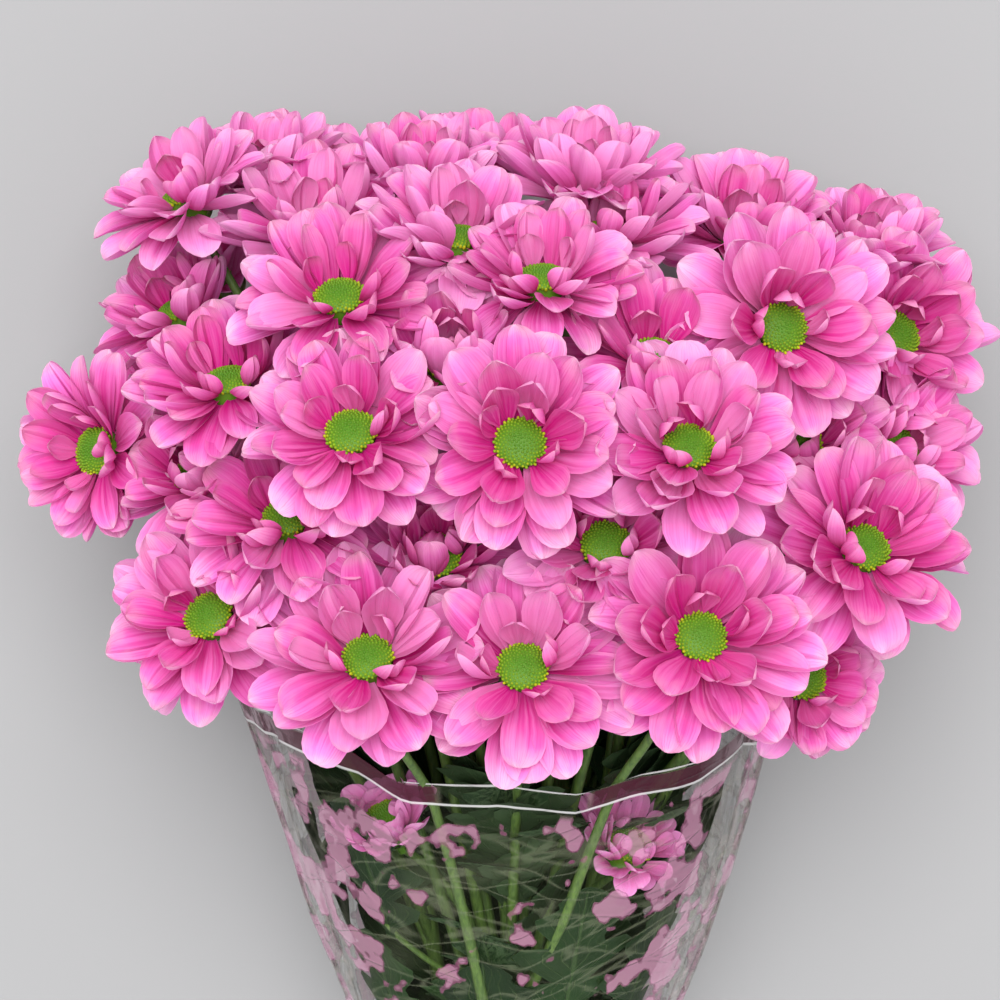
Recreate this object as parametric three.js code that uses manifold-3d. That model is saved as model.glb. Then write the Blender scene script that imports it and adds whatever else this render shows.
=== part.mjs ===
// A bunch of pink spray chrysanthemums in its clear film sleeve, laid down on its back.
//
// Everything is first laid out in the upright bunch, in millimetres: x across, y away from the
// viewer, z up along the stems, with the rim of the sleeve at z = 0. The whole bunch is then
// tipped over, so that the blooms at its back and the cut ends of its stems rest on z = 0.

import * as THREE from 'three';
import Module from 'manifold-3d';

const wasm = await Module();
wasm.setup();

const rad = THREE.MathUtils.degToRad;
const point = (x, y, z) => new THREE.Vector3(x, y, z);

// The viewer, who looks slightly down on the front of the upright bunch.
const VIEW_DISTANCE = 1200;
const VIEW_ELEVATION = rad(20);
const VIEW_TARGET = point(-3, 0, 79.7);
const AWAY = point(0, Math.cos(VIEW_ELEVATION), -Math.sin(VIEW_ELEVATION));
const PICTURE_UP = point(0, Math.sin(VIEW_ELEVATION), Math.cos(VIEW_ELEVATION));
const EYE = VIEW_TARGET.clone().addScaledVector(AWAY, -VIEW_DISTANCE);

// The head of the bunch is a low dome: its centre and half sizes.
const HEAD_CENTRE = point(0, 5, 62);
const HEAD_RADII = point(150, 97, 126);

// The surface that the bunch lies on leans towards the head by this much, seen from the stems.
const LYING_PITCH = rad(9.8);
const CUT_END_Z = -460;
const CUT_END_DEPTH = 9.1;
const FLOOR_GAP = 0.3;

// One bloom: a ring of petals on a green receptacle that ends in the disc.
const DISC_RADIUS = 8;
const NECK_RADIUS = 6.2;
const HOLE_RADIUS = 6.6;
const HOLE_HEIGHT = -0.7;
const RING_LEVELS = [[7.6, -4.5], [9.2, -2.2], [9.4, 0.4], [8.8, 3.0]];
const CALYX_HEIGHT = -5.4;
const NECK_TOP = 3.35;
const DISC_EDGE_HEIGHT = 3.6;
const DISC_TOP = 6;
const PEDICEL_TOP = -14;
const PEDICEL_RADIUS = 1.6;

// One petal, wider on a bloom of more than the usual radius, and thinner towards its tip.
const USUAL_RADIUS = 33;
const PETAL_THICKNESS = 1.3;
const PETAL_THINNING = 0.33;
const PETAL_CUP = 0.12;
const OUTER_ROW = { width: 17.5, reach: 1, elevation: 12, bow: 0.09, lowest: -16, highest: 60 };
const INNER_ROW = { width: 13.5, reach: 0.8, elevation: 38, bow: -0.07, lowest: 8, highest: 78 };
const ROW_STEP = 12;
const REAR_LIFT = 16;
const PETAL_CLEARANCE = 0.45;

// The stems, from the tight bundle at the cut ends to where the sprays branch.
const STEM_RADIUS = 3.1;
const OUTER_STEMS = 5;
const BUNDLE_RADIUS = 6.6;
const SPREAD_RADIUS = 36;
const SPREAD_POWER = 2.4;
const STEM_TOP_Z = -44;
const STEM_LEVELS = [CUT_END_Z, -330, -230, -150, -95, STEM_TOP_Z];
const STEM_SIDES = 6;
const CROWN_LIMIT = 0.5;

// The stalks of the blooms: where the first and the next ones leave the stem, and their bow.
const FIRST_STALK_DROP = 5;
const STALK_STEP = 8;
const LEAST_STALK_RISE = 60;
const STALK_BEND = { out: 0.6, up: 0.75 };
const STALK_RINGS = [0, 0.4, 0.76, 1];
const STALK_SIDES = 3;

// The sleeve, a tapered tube of film, open at both ends.
const SLEEVE_BOTTOM_Z = -330;
const SLEEVE_RIM = { across: 92, deep: 80 };
const SLEEVE_NECK = { across: 33, deep: 25 };
const SLEEVE_TAPER_LENGTH = 180;
const SLEEVE_TAPER_EASE = 0.3;
const FILM_THICKNESS = 0.8;
const FILM_SIDES = 18;
const FILM_LEVELS = [SLEEVE_BOTTOM_Z, -240, -180, -130, -60, 0];
const FILM_CLEARANCE = 2.6;

// Blooms seen from the front: how far across and up the picture their discs lie, how far they
// stand out of the dome, their radius, which way they face, swung to the right and lifted up in
// degrees, and how much further than usual their petals close up.
const SEEN_BLOOMS = [
  ['front_left', -46, -57, 14, 38, -6, 34, 0],
  ['front_middle', 8, -60, 12, 37, 0, 28, 0],
  ['front_right', 70, -49, 14, 39, 6, 22, 0],
  ['low_left', -101, -42, 8, 36, -24, 28, 0],
  ['low_right', 127, -18, 12, 38, 20, 28, 4],
  ['centre', 7, 19, 10, 37, 0, 16, 0],
  ['centre_left', -52, 22, 14, 36, -6, 34, 0],
  ['centre_right', 66, 17, 12, 37, 6, 34, 4],
  ['far_left', -140, 17, 12, 33, -40, 8, 4],
  ['right_face', 98, 60, 14, 37, 14, 8, 0],
  ['far_right', 138, 57, 10, 36, 30, 18, 8],
  ['inner_right', 37, -17, -6, 35, 4, 26, 4],
  ['upper_left', -56, 69, 8, 36, -6, 46, 0],
  ['upper_right', 54, 48, -2, 36, 6, 46, 6],
  ['under_left', -74, -8, -6, 36, -8, 44, 0],
  ['left_shoulder', -95, 39, 0, 34, -14, 56, 4],
  ['behind_centre', -18, 46, -6, 34, 0, 48, 8],
  ['crown_left', -65, 93, 4, 38, -6, 68, 10],
];
const CREST_BLOOMS = [
  ['upper_middle', 15, 75, 2, 33, 0, 58, 8],
  ['top_middle', 29, 108, 6, 37, 4, 80, 24],
  ['crown_middle', 38, 91, -16, 35, 4, 64, 14],
  ['crown_inner', -15, 89, -2, 35, 0, 62, 18],
  ['top_right', 84, 92, 0, 36, 12, 66, 22],
  ['left_edge', -112, 64, 0, 34, -46, 56, 10],
  ['top_left_tip', -110, 104, 6, 34, -48, 58, 10],
  ['top_left', -84, 112, -14, 33, -16, 76, 24],
  ['top_inner_left', -27, 110, 0, 33, 0, 78, 24],
  ['top_right_tip', 127, 84, -10, 34, 34, 60, 18],
];
const HALF_HIDDEN_BLOOMS = [
  ['right_edge', 138, 17, -12, 35, 40, 20, 0],
  ['bottom_right', 105, -62, -6, 35, 24, 12, 0],
  ['hidden_left', -105, 8, -16, 33, -24, 36, 0],
  ['hidden_centre', -22, -21, -18, 33, -4, 30, 0],
  ['hidden_right', 104, 19, -22, 33, 12, 20, 0],
  ['top_gap', -5, 115, -34, 33, 0, 84, 20],
  ['top_gap_left', -53, 110, -38, 33, -6, 84, 20],
];

// Blooms at the back and inside the sleeve: where their discs lie, their radius and their facing.
const PLACED_BLOOMS = [
  ['back_upper_right', 45, 62, 166, 33, 0.25, 0.35, 0.9, 14],
  ['back_upper_far_right', 98, 58, 142, 33, 0.62, 0.3, 0.7, 8],
  ['back_upper_far_left', -104, 58, 142, 33, -0.62, 0.3, 0.7, 8],
  ['back_left', -78, 82, 112, 33, -0.5, 0.25, 0.8, 4],
  ['back_middle_left', -26, 84, 132, 33, -0.15, 0.3, 0.9, 4],
  ['back_middle_right', 26, 84, 118, 33, 0.15, 0.3, 0.9, 4],
  ['back_right', 78, 82, 108, 33, 0.5, 0.25, 0.8, 4],
  ['side_left', -128, 36, 98, 33, -0.85, 0.1, 0.45, 0],
  ['side_right', 126, 38, 100, 33, 0.85, 0.1, 0.45, 0],
  ['low_back_left', -96, 58, 50, 32, -0.8, 0.2, 0.4, 0],
  ['low_back_middle', 0, 76, 70, 32, 0, 0.35, 0.9, 0],
  ['low_back_right', 96, 58, 48, 32, 0.8, 0.2, 0.4, 0],
  ['low_side_left', -114, -4, 42, 32, -0.9, -0.15, 0.35, 0],
  ['low_side_right', 116, 0, 46, 32, 0.9, -0.15, 0.35, 0],
  ['neck_back_left', -46, 76, 30, 31, -0.35, 0.5, 0.75, 0],
  ['neck_back_right', 46, 76, 28, 31, 0.35, 0.5, 0.75, 0],
  ['inside_left', -42, -46, -24, 25, -0.3, -0.4, 0.85, 0],
  ['inside_right', 42, -40, -37, 25, 0.3, -0.4, 0.85, 0],
];

// A full bloom has two rows of six petals with round shoulders. Those seen edge on or hidden have
// petals with one broad middle instead, and the hidden ones two rows of five.
const FULL = { petalsPerRow: 6, shoulders: [[0.4, 0.86], [0.78, 1]] };
const OVAL = { petalsPerRow: 6, shoulders: [[0.64, 1.04]] };
const PLAIN = { petalsPerRow: 5, shoulders: [[0.64, 1.04]] };

// Lobed leaves. Those inside the sleeve lie along its film, with their tips nearest to it: on which
// stem, how many degrees round from it, and at what height the blade starts. Those at the neck
// grow from the stalks of blooms.
const LEAF_LENGTH = 62;
const LEAF_WIDTH = 46;
const LEAF_THICKNESS = 0.9;
const LEAF_INSET = 2.3;
const LEAF_LOBES = [
  [0, 0.05], [0.16, 0.36], [0.3, 0.17], [0.46, 0.5], [0.58, 0.2], [0.76, 0.34], [0.85, 0.12],
];
const LEAF_RIB = [0.02, 0.3, 0.58, 0.84];
const LEAF_LEAN = 3;
const LEAF_STALK_DROP = 34;
const LEAF_STALK_RADIUS = 1.3;
const LEAF_STALK_BEND = 0.8;
const SLEEVE_LEAVES = [
  [0, -26, -66], [0, -8, -128], [0, 22, -104], [0, 2, -196],
  [1, -16, -122], [1, 20, -92], [1, 4, -186],
  [2, -20, -84], [2, 16, -146],
  [3, -20, -96], [3, 16, -160],
  [4, -16, -92], [4, 22, -132], [4, -4, -196],
];
const NECK_LEAF_SHARE = 0.72;
const NECK_LEAF_PLACE = 0.6;
const NECK_LEAF_RISE = rad(20);
const NECK_LEAF_BOW = 5;
const NECK_LEAVES = [
  'low_left', 'low_side_left', 'low_side_right', 'low_back_left', 'low_back_right',
];

const PETAL_LOOK = { color: 0xe883c4, roughness: 0.6 };
const GREEN_LOOK = { color: 0x4a6b2a, roughness: 0.65 };
const FILM_LOOK = { color: 0xc9cfc8, roughness: 0.15, transparent: true, opacity: 0.4 };

// A closed solid that is put together ring by ring.
class Solid {
  constructor() {
    this.points = [];
    this.faces = [];
  }

  ring(points) {
    const first = this.points.length;
    this.points.push(...points);
    return points.map((_, index) => first + index);
  }

  // Joins two closed rings of any counts, which run the same way round.
  band(lower, upper) {
    this.zip([...lower, lower[0]], [...upper, upper[0]]);
  }

  // Joins two open rows of points.
  zip(lower, upper) {
    const lowerSteps = lower.length - 1;
    const upperSteps = upper.length - 1;
    let i = 0;
    let j = 0;
    while (i < lowerSteps || j < upperSteps) {
      const lowerNext = lowerSteps ? (i + 0.5) / lowerSteps : Infinity;
      const upperNext = upperSteps ? (j + 0.5) / upperSteps : Infinity;
      if (j >= upperSteps || (i < lowerSteps && lowerNext <= upperNext)) {
        this.faces.push([lower[i], lower[i + 1], upper[j]]);
        i += 1;
      } else {
        this.faces.push([lower[i], upper[j + 1], upper[j]]);
        j += 1;
      }
    }
  }

  fan(ring, tip) {
    ring.forEach((index, i) => this.faces.push([index, ring[(i + 1) % ring.length], tip]));
  }

  capStart(ring) {
    for (let i = 1; i < ring.length - 1; i += 1) this.faces.push([ring[0], ring[i + 1], ring[i]]);
  }

  capEnd(ring) {
    for (let i = 1; i < ring.length - 1; i += 1) this.faces.push([ring[0], ring[i], ring[i + 1]]);
  }

  volume() {
    return this.faces.reduce((sum, [a, b, c]) => {
      const [p, q, r] = [this.points[a], this.points[b], this.points[c]];
      return sum + p.dot(q.clone().cross(r)) / 6;
    }, 0);
  }

  toManifold() {
    const outward = this.volume() > 0;
    const corners = this.faces.flatMap(([a, b, c]) => (outward ? [a, b, c] : [a, c, b]));
    const triVerts = new Uint32Array(corners);
    const vertProperties = new Float32Array(this.points.flatMap((p) => [p.x, p.y, p.z]));
    return new wasm.Manifold(new wasm.Mesh({ numProp: 3, vertProperties, triVerts }));
  }
}

function toGeometry(manifold) {
  const mesh = manifold.getMesh();
  const geometry = new THREE.BufferGeometry();
  geometry.setAttribute('position', new THREE.BufferAttribute(mesh.vertProperties.slice(), 3));
  geometry.setIndex(new THREE.BufferAttribute(mesh.triVerts.slice(), 1));
  return geometry;
}

// Where the line of sight through a place in the picture meets the dome of the head.
function onHead(across, up, out) {
  const sight = AWAY.clone().multiplyScalar(VIEW_DISTANCE).addScaledVector(PICTURE_UP, up);
  sight.x += across;
  sight.normalize();
  const start = EYE.clone().sub(HEAD_CENTRE).divide(HEAD_RADII);
  const step = sight.clone().divide(HEAD_RADII);
  const half = start.dot(step);
  const inside = Math.max(half * half - step.lengthSq() * (start.lengthSq() - 1), 0);
  const along = (-half - Math.sqrt(inside)) / step.lengthSq();
  return EYE.clone().addScaledVector(sight, along - out);
}

// A bloom's centre, its axis, and the two directions across it, the first pointing to its rear.
function makeBloom(name, centre, radius, axis, cup, form) {
  const rear = PICTURE_UP.clone().add(AWAY);
  rear.addScaledVector(axis, -rear.dot(axis)).normalize();
  const side = axis.clone().cross(rear);
  return { name, centre, radius, axis, cup, rear, side, form };
}

function seenBloom([name, across, up, out, radius, swingDegrees, liftDegrees, cup], form) {
  const swing = rad(swingDegrees);
  const lift = rad(liftDegrees);
  const axis = AWAY.clone().multiplyScalar(-Math.cos(lift) * Math.cos(swing));
  axis.addScaledVector(PICTURE_UP, Math.sin(lift));
  axis.x += Math.sin(swing) * Math.cos(lift);
  return makeBloom(name, onHead(across, up, out), radius, axis.normalize(), cup, form);
}

function placedBloom([name, x, y, z, radius, facingX, facingY, facingZ, cup]) {
  return makeBloom(name, point(x, y, z), radius, point(facingX, facingY, facingZ).normalize(), cup, PLAIN);
}

const BLOOMS = [
  ...SEEN_BLOOMS.map((row) => seenBloom(row, FULL)),
  ...CREST_BLOOMS.map((row) => seenBloom(row, OVAL)),
  ...HALF_HIDDEN_BLOOMS.map((row) => seenBloom(row, PLAIN)),
  ...PLACED_BLOOMS.map(placedBloom),
];

// A point in a bloom's own frame: round its axis, out from it and up along it.
function onBloom(bloom, turn, out, height) {
  return bloom.centre.clone()
    .addScaledVector(bloom.rear, out * Math.cos(turn))
    .addScaledVector(bloom.side, out * Math.sin(turn))
    .addScaledVector(bloom.axis, height);
}

function bloomRing(bloom, sides, out, height, offset = 0) {
  const turn = (i) => (2 * Math.PI * (i + offset)) / sides;
  return Array.from({ length: sides }, (_, i) => onBloom(bloom, turn(i), out, height));
}

// Half sizes of the sleeve at a height.
function sleeveSize(z) {
  const taper = 1 + z / SLEEVE_TAPER_LENGTH;
  const share = (taper + Math.hypot(taper, SLEEVE_TAPER_EASE)) / (1 + Math.hypot(1, SLEEVE_TAPER_EASE));
  return {
    across: SLEEVE_NECK.across + (SLEEVE_RIM.across - SLEEVE_NECK.across) * share,
    deep: SLEEVE_NECK.deep + (SLEEVE_RIM.deep - SLEEVE_NECK.deep) * share,
  };
}

// How far a point lies inside (below 1) or outside (above 1) the sleeve, the film moved by a margin.
function sleeveShare(p, margin) {
  const size = sleeveSize(p.z);
  return Math.hypot(p.x / (size.across + margin), p.y / (size.deep + margin));
}

function floorDepth(z) {
  return CUT_END_DEPTH + (z - CUT_END_Z) * Math.tan(LYING_PITCH);
}

function buildSleeve() {
  const solid = new Solid();
  const wall = (inset) => FILM_LEVELS.map((z) => {
    const size = sleeveSize(z);
    return solid.ring(Array.from({ length: FILM_SIDES }, (_, i) => {
      const turn = (2 * Math.PI * (i + 0.5)) / FILM_SIDES;
      return point((size.across - inset) * Math.cos(turn), (size.deep - inset) * Math.sin(turn), z);
    }));
  });
  const outer = wall(0);
  const inner = wall(FILM_THICKNESS).reverse();
  const loop = [...outer, ...inner, outer[0]];
  for (let i = 0; i < loop.length - 1; i += 1) solid.band(loop[i], loop[i + 1]);
  return solid;
}

// Where an outer stem runs: its turn round the bundle, and its centre at a height.
const stemTurn = (index) => -Math.PI / 2 + (2 * Math.PI * index) / OUTER_STEMS;

function stemCentre(index, z) {
  if (index === OUTER_STEMS) return point(0, 0, z);
  const rise = (z - CUT_END_Z) / (STEM_TOP_Z - CUT_END_Z);
  const spread = BUNDLE_RADIUS + (SPREAD_RADIUS - BUNDLE_RADIUS) * rise ** SPREAD_POWER;
  return point(spread * Math.cos(stemTurn(index)), spread * Math.sin(stemTurn(index)), z);
}

// The stem that carries a bloom: the crown's own in the middle, or else the nearest outer one.
function stemOf(bloom) {
  const across = bloom.centre.x / HEAD_RADII.x;
  const deep = (bloom.centre.y - HEAD_CENTRE.y) / HEAD_RADII.y;
  if (Math.hypot(across, deep) < CROWN_LIMIT && bloom.centre.z > HEAD_CENTRE.z) return OUTER_STEMS;
  const turn = Math.atan2(deep, across) + Math.PI / 2;
  return (Math.round((turn * OUTER_STEMS) / (2 * Math.PI)) + OUTER_STEMS) % OUTER_STEMS;
}

function ringAcross(centre, tangent, reference, sides, radius) {
  const first = reference.clone().addScaledVector(tangent, -reference.dot(tangent)).normalize();
  const second = tangent.clone().cross(first);
  return Array.from({ length: sides }, (_, i) => {
    const turn = (2 * Math.PI * i) / sides;
    return centre.clone()
      .addScaledVector(first, radius * Math.cos(turn))
      .addScaledVector(second, radius * Math.sin(turn));
  });
}

function buildStem(index) {
  const solid = new Solid();
  const rings = STEM_LEVELS.map((z) => {
    const centre = stemCentre(index, z);
    return solid.ring(Array.from({ length: STEM_SIDES }, (_, i) => {
      const turn = (2 * Math.PI * (i + 0.5)) / STEM_SIDES;
      return point(centre.x + STEM_RADIUS * Math.cos(turn), centre.y + STEM_RADIUS * Math.sin(turn), z);
    }));
  });
  solid.capStart(rings[0]);
  for (let i = 0; i < rings.length - 1; i += 1) solid.band(rings[i], rings[i + 1]);
  solid.capEnd(rings[rings.length - 1]);
  return solid;
}

// How far out from the top of its stem a bloom lies.
function reachFromStem(bloom, stem) {
  const top = stemCentre(stem, STEM_TOP_Z);
  return Math.hypot(bloom.centre.x - top.x, bloom.centre.y - top.y);
}

// The blooms of a spray, from the one right over its stem to the furthest out.
function bloomsOf(stem) {
  const own = BLOOMS.filter((bloom) => stemOf(bloom) === stem);
  return own.sort((one, other) => reachFromStem(one, stem) - reachFromStem(other, stem));
}

// A bloom's stalk: they leave the stem one under another, the one that reaches furthest lowest.
function stalkPath(bloom, stem) {
  const top = onBloom(bloom, 0, 0, PEDICEL_TOP);
  const drop = FIRST_STALK_DROP + STALK_STEP * bloomsOf(stem).indexOf(bloom);
  const jointZ = Math.min(STEM_TOP_Z - drop, top.z - LEAST_STALK_RISE);
  const bend = top.clone().multiplyScalar(STALK_BEND.out);
  bend.z = jointZ + STALK_BEND.up * (top.z - jointZ);
  return new THREE.QuadraticBezierCurve3(stemCentre(stem, jointZ), bend, top);
}

// The stalk, receptacle and disc of one bloom, as one loft.
function buildStalk(bloom, stem) {
  const solid = new Solid();
  const path = stalkPath(bloom, stem);
  const sides = bloom.form.petalsPerRow;
  const rings = STALK_RINGS.map((t) => solid.ring(
    ringAcross(path.getPoint(t), path.getTangent(t), bloom.rear, STALK_SIDES, PEDICEL_RADIUS)));
  rings.push(
    solid.ring(bloomRing(bloom, sides, NECK_RADIUS, CALYX_HEIGHT)),
    solid.ring(bloomRing(bloom, sides, NECK_RADIUS, NECK_TOP)),
    solid.ring(bloomRing(bloom, 2 * sides, DISC_RADIUS, DISC_EDGE_HEIGHT)),
  );
  solid.capStart(rings[0]);
  for (let i = 0; i < rings.length - 1; i += 1) solid.band(rings[i], rings[i + 1]);
  solid.fan(rings[rings.length - 1], solid.ring([onBloom(bloom, 0, 0, DISC_TOP)])[0]);
  return solid;
}

// A place on the inside of the film: a turn round the bunch, mm across from it, and a height.
function onFilm(turn, across, z, inset) {
  const size = sleeveSize(z);
  const middle = (size.across + size.deep) / 2;
  const angle = turn + across / middle;
  return point((size.across - inset) * Math.cos(angle), (size.deep - inset) * Math.sin(angle), z);
}

// A lobed blade with sharp edges, thickest along its rib. The given function places its points.
function buildBlade(place) {
  const blade = new Solid();
  const left = blade.ring(LEAF_LOBES.map(([along, across]) => place(along, -across, 0)));
  const right = blade.ring(LEAF_LOBES.map(([along, across]) => place(along, across, 0)));
  const tip = blade.ring([place(1, 0, 0)])[0];
  const [outside, inside] = [1, -1].map((face) => (
    blade.ring(LEAF_RIB.map((along) => place(along, 0, (face * LEAF_THICKNESS) / 2)))));
  blade.zip([...left, tip], outside);
  blade.zip(outside, [...right, tip]);
  blade.zip(inside, [...left, tip]);
  blade.zip([...right, tip], inside);
  blade.faces.push([left[0], outside[0], right[0]], [right[0], inside[0], left[0]]);
  return blade;
}

// A leaf whose blade lies along the inside of the film, and the leaf stalk that carries it.
function buildSleeveLeaf([stem, offsetDegrees, z]) {
  const turn = stemTurn(stem) + rad(offsetDegrees);
  const inset = (along) => LEAF_INSET + LEAF_LEAN * (1 - along);
  const place = (along, across, lift) => (
    onFilm(turn, across * LEAF_WIDTH, z + along * LEAF_LENGTH, inset(along) - lift));
  const stalk = new Solid();
  const end = place(0.1, 0, 0);
  const bend = end.clone().multiplyScalar(LEAF_STALK_BEND);
  bend.z = z - LEAF_STALK_DROP / 3;
  const path = new THREE.QuadraticBezierCurve3(stemCentre(stem, z - LEAF_STALK_DROP), bend, end);
  const upright = point(0, 0, 1);
  const rings = [0, 0.5, 1].map((t) => stalk.ring(
    ringAcross(path.getPoint(t), path.getTangent(t), upright, STALK_SIDES, LEAF_STALK_RADIUS)));
  stalk.capStart(rings[0]);
  stalk.band(rings[0], rings[1]);
  stalk.band(rings[1], rings[2]);
  stalk.capEnd(rings[2]);
  return [buildBlade(place), stalk];
}

// A smaller leaf that leans out from a bloom's stalk, over the rim of the sleeve.
function buildNeckLeaf(bloom, stem) {
  const base = stalkPath(bloom, stem).getPoint(NECK_LEAF_PLACE);
  const outward = point(base.x, base.y, 0).normalize();
  const along = outward.clone().multiplyScalar(Math.cos(NECK_LEAF_RISE));
  along.z = Math.sin(NECK_LEAF_RISE);
  const across = point(-outward.y, outward.x, 0);
  const upper = along.clone().cross(across);
  return buildBlade((t, side, lift) => base.clone()
    .addScaledVector(along, NECK_LEAF_SHARE * LEAF_LENGTH * t)
    .addScaledVector(across, NECK_LEAF_SHARE * LEAF_WIDTH * side)
    .addScaledVector(upper, lift + 4 * NECK_LEAF_BOW * t * (1 - t)));
}

// The row, turn and root corners of each petal on a bloom's ring, a lattice of lozenges.
function petalRoots(bloom) {
  const count = bloom.form.petalsPerRow;
  const corner = (level, half) => {
    const [out, height] = RING_LEVELS[level];
    return onBloom(bloom, (Math.PI * half) / count, out, height);
  };
  const rows = [OUTER_ROW, INNER_ROW];
  return rows.flatMap((row, tier) => Array.from({ length: count }, (_, i) => {
    const half = 2 * i + tier;
    const corners = [
      corner(tier, half), corner(tier + 1, half + 1), corner(tier + 2, half), corner(tier + 1, half - 1),
    ];
    return { row, tier, half, turn: (Math.PI * half) / count, corners };
  }));
}

// The points of a petal: its four root corners, four points at each shoulder, and its tip.
function petalPoints(bloom, root, elevationDegrees, scale, margin) {
  const elevation = rad(elevationDegrees);
  const outward = onBloom(bloom, root.turn, 1, 0).sub(bloom.centre);
  const along = outward.clone().multiplyScalar(Math.cos(elevation));
  along.addScaledVector(bloom.axis, Math.sin(elevation));
  const upper = bloom.axis.clone().multiplyScalar(Math.cos(elevation));
  upper.addScaledVector(outward, -Math.sin(elevation));
  const across = upper.clone().cross(along);
  const start = root.corners.reduce((sum, p) => sum.addScaledVector(p, 0.25), point(0, 0, 0));
  const length = (bloom.radius - RING_LEVELS[1][0]) * root.row.reach * scale;
  const width = root.row.width * (bloom.radius / USUAL_RADIUS) * (0.55 + 0.45 * scale);
  const points = [...root.corners];
  bloom.form.shoulders.forEach(([t, share]) => {
    const middle = start.clone()
      .addScaledVector(along, length * t)
      .addScaledVector(upper, 4 * root.row.bow * length * t * (1 - t));
    const half = (width * share) / 2;
    const thick = 0.6 * PETAL_THICKNESS * (1 - PETAL_THINNING * t) + margin;
    const edge = (sign) => middle.clone()
      .addScaledVector(across, sign * (half + margin))
      .addScaledVector(upper, PETAL_CUP * width);
    points.push(
      middle.clone().addScaledVector(upper, -thick), edge(1),
      middle.clone().addScaledVector(upper, thick), edge(-1),
    );
  });
  points.push(start.clone().addScaledVector(along, length + margin));
  return points;
}

// Each petal's faces, as triples of places in its list of points.
function petalFaces(shoulders) {
  const faces = [];
  for (let ring = 0; ring < shoulders; ring += 1) {
    for (let i = 0; i < 4; i += 1) {
      const [a, b] = [4 * ring + i, 4 * ring + ((i + 1) % 4)];
      faces.push([a, b, b + 4], [a, b + 4, a + 4]);
    }
  }
  const last = 4 * shoulders;
  for (let i = 0; i < 4; i += 1) faces.push([last + i, last + ((i + 1) % 4), last + 4]);
  return faces;
}

// True where the stretch from p to q pierces the triangle a, b, c.
function pierces(p, q, a, b, c) {
  const [ux, uy, uz] = [b.x - a.x, b.y - a.y, b.z - a.z];
  const [vx, vy, vz] = [c.x - a.x, c.y - a.y, c.z - a.z];
  const [dx, dy, dz] = [q.x - p.x, q.y - p.y, q.z - p.z];
  const [hx, hy, hz] = [dy * vz - dz * vy, dz * vx - dx * vz, dx * vy - dy * vx];
  const scale = ux * hx + uy * hy + uz * hz;
  if (Math.abs(scale) < 1e-9) return false;
  const [sx, sy, sz] = [p.x - a.x, p.y - a.y, p.z - a.z];
  const u = (sx * hx + sy * hy + sz * hz) / scale;
  if (u < 0 || u > 1) return false;
  const [kx, ky, kz] = [sy * uz - sz * uy, sz * ux - sx * uz, sx * uy - sy * ux];
  const v = (dx * kx + dy * ky + dz * kz) / scale;
  if (v < 0 || u + v > 1) return false;
  const t = (vx * kx + vy * ky + vz * kz) / scale;
  return t >= 0 && t <= 1;
}

// A triangle that is already in place, with its box.
function facet(points) {
  return { points, box: new THREE.Box3().setFromPoints(points) };
}

function solidFacets(solid) {
  return solid.faces.map((face) => facet(face.map((index) => solid.points[index])));
}

function crosses(points, faces, facets) {
  const box = new THREE.Box3().setFromPoints(points);
  const near = facets.filter((other) => other.box.intersectsBox(box));
  return near.some(({ points: [a, b, c] }) => faces.some(([i, j, k]) => {
    const [p, q, r] = [points[i], points[j], points[k]];
    return pierces(p, q, a, b, c) || pierces(q, r, a, b, c) || pierces(r, p, a, b, c)
      || pierces(a, b, p, q, r) || pierces(b, c, p, q, r) || pierces(c, a, p, q, r);
  }));
}

// Petals keep above the floor, and outside the sleeve or inside it as their bloom is.
function hasRoom(points, inside) {
  return points.every((p) => {
    if ((floorDepth(p.z) - p.y) * Math.cos(LYING_PITCH) < FLOOR_GAP) return false;
    if (p.z > 1) return true;
    return inside ? sleeveShare(p, -FILM_CLEARANCE) < 1 : sleeveShare(p, 1) > 1;
  });
}

// The order in which a petal tries other elevations, in degrees from the one it would rather have.
const ELEVATION_TRIES = [0, 5, -5, 10, -10, 15, -15, 20, -20, 26, 32, 38, 44, 50, 56, 62];
const SCALE_TRIES = [1, 0.9, 0.8, 0.7, 0.6, 0.5, 0.4, 0.3];

// Finds each petal the pose nearest its own that crosses nothing already in place. A petal of the
// inner row keeps a step above the outer ones beside it, and one with no room at all is left out.
function fitPetals(bloom, facets) {
  const faces = petalFaces(bloom.form.shoulders.length);
  const blades = faces.filter((face) => Math.min(...face) >= 4);
  const halves = 2 * bloom.form.petalsPerRow;
  const inside = bloom.centre.z < 0;
  const heights = new Map();
  const own = [];
  const toFacet = (points) => (face) => facet(face.map((i) => points[i]));

  const fitOne = (root) => {
    const beside = [(root.half + halves - 1) % halves, (root.half + 1) % halves]
      .filter((half) => heights.has(half))
      .map((half) => heights.get(half) + ROW_STEP);
    const lowest = Math.max(root.row.lowest, ...beside);
    const highest = Math.max(root.row.highest, lowest);
    const wish = Math.max(root.row.elevation + bloom.cup + REAR_LIFT * Math.cos(root.turn), lowest);
    for (const scale of SCALE_TRIES) {
      for (const turn of ELEVATION_TRIES) {
        const elevation = wish + turn;
        const tried = petalPoints(bloom, root, elevation, scale, PETAL_CLEARANCE);
        const allowed = elevation >= lowest && elevation <= highest && hasRoom(tried, inside);
        if (allowed && !crosses(tried, faces, own) && !crosses(tried, faces, facets)) {
          const points = petalPoints(bloom, root, elevation, scale, 0);
          heights.set(root.half, elevation);
          own.push(...blades.map(toFacet(points)));
          return { root, points };
        }
      }
    }
    return { root, points: null };
  };

  const petals = petalRoots(bloom).map(fitOne);
  petals.filter(({ points }) => points).forEach(({ points }) => facets.push(...faces.map(toFacet(points))));
  return petals;
}

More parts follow.
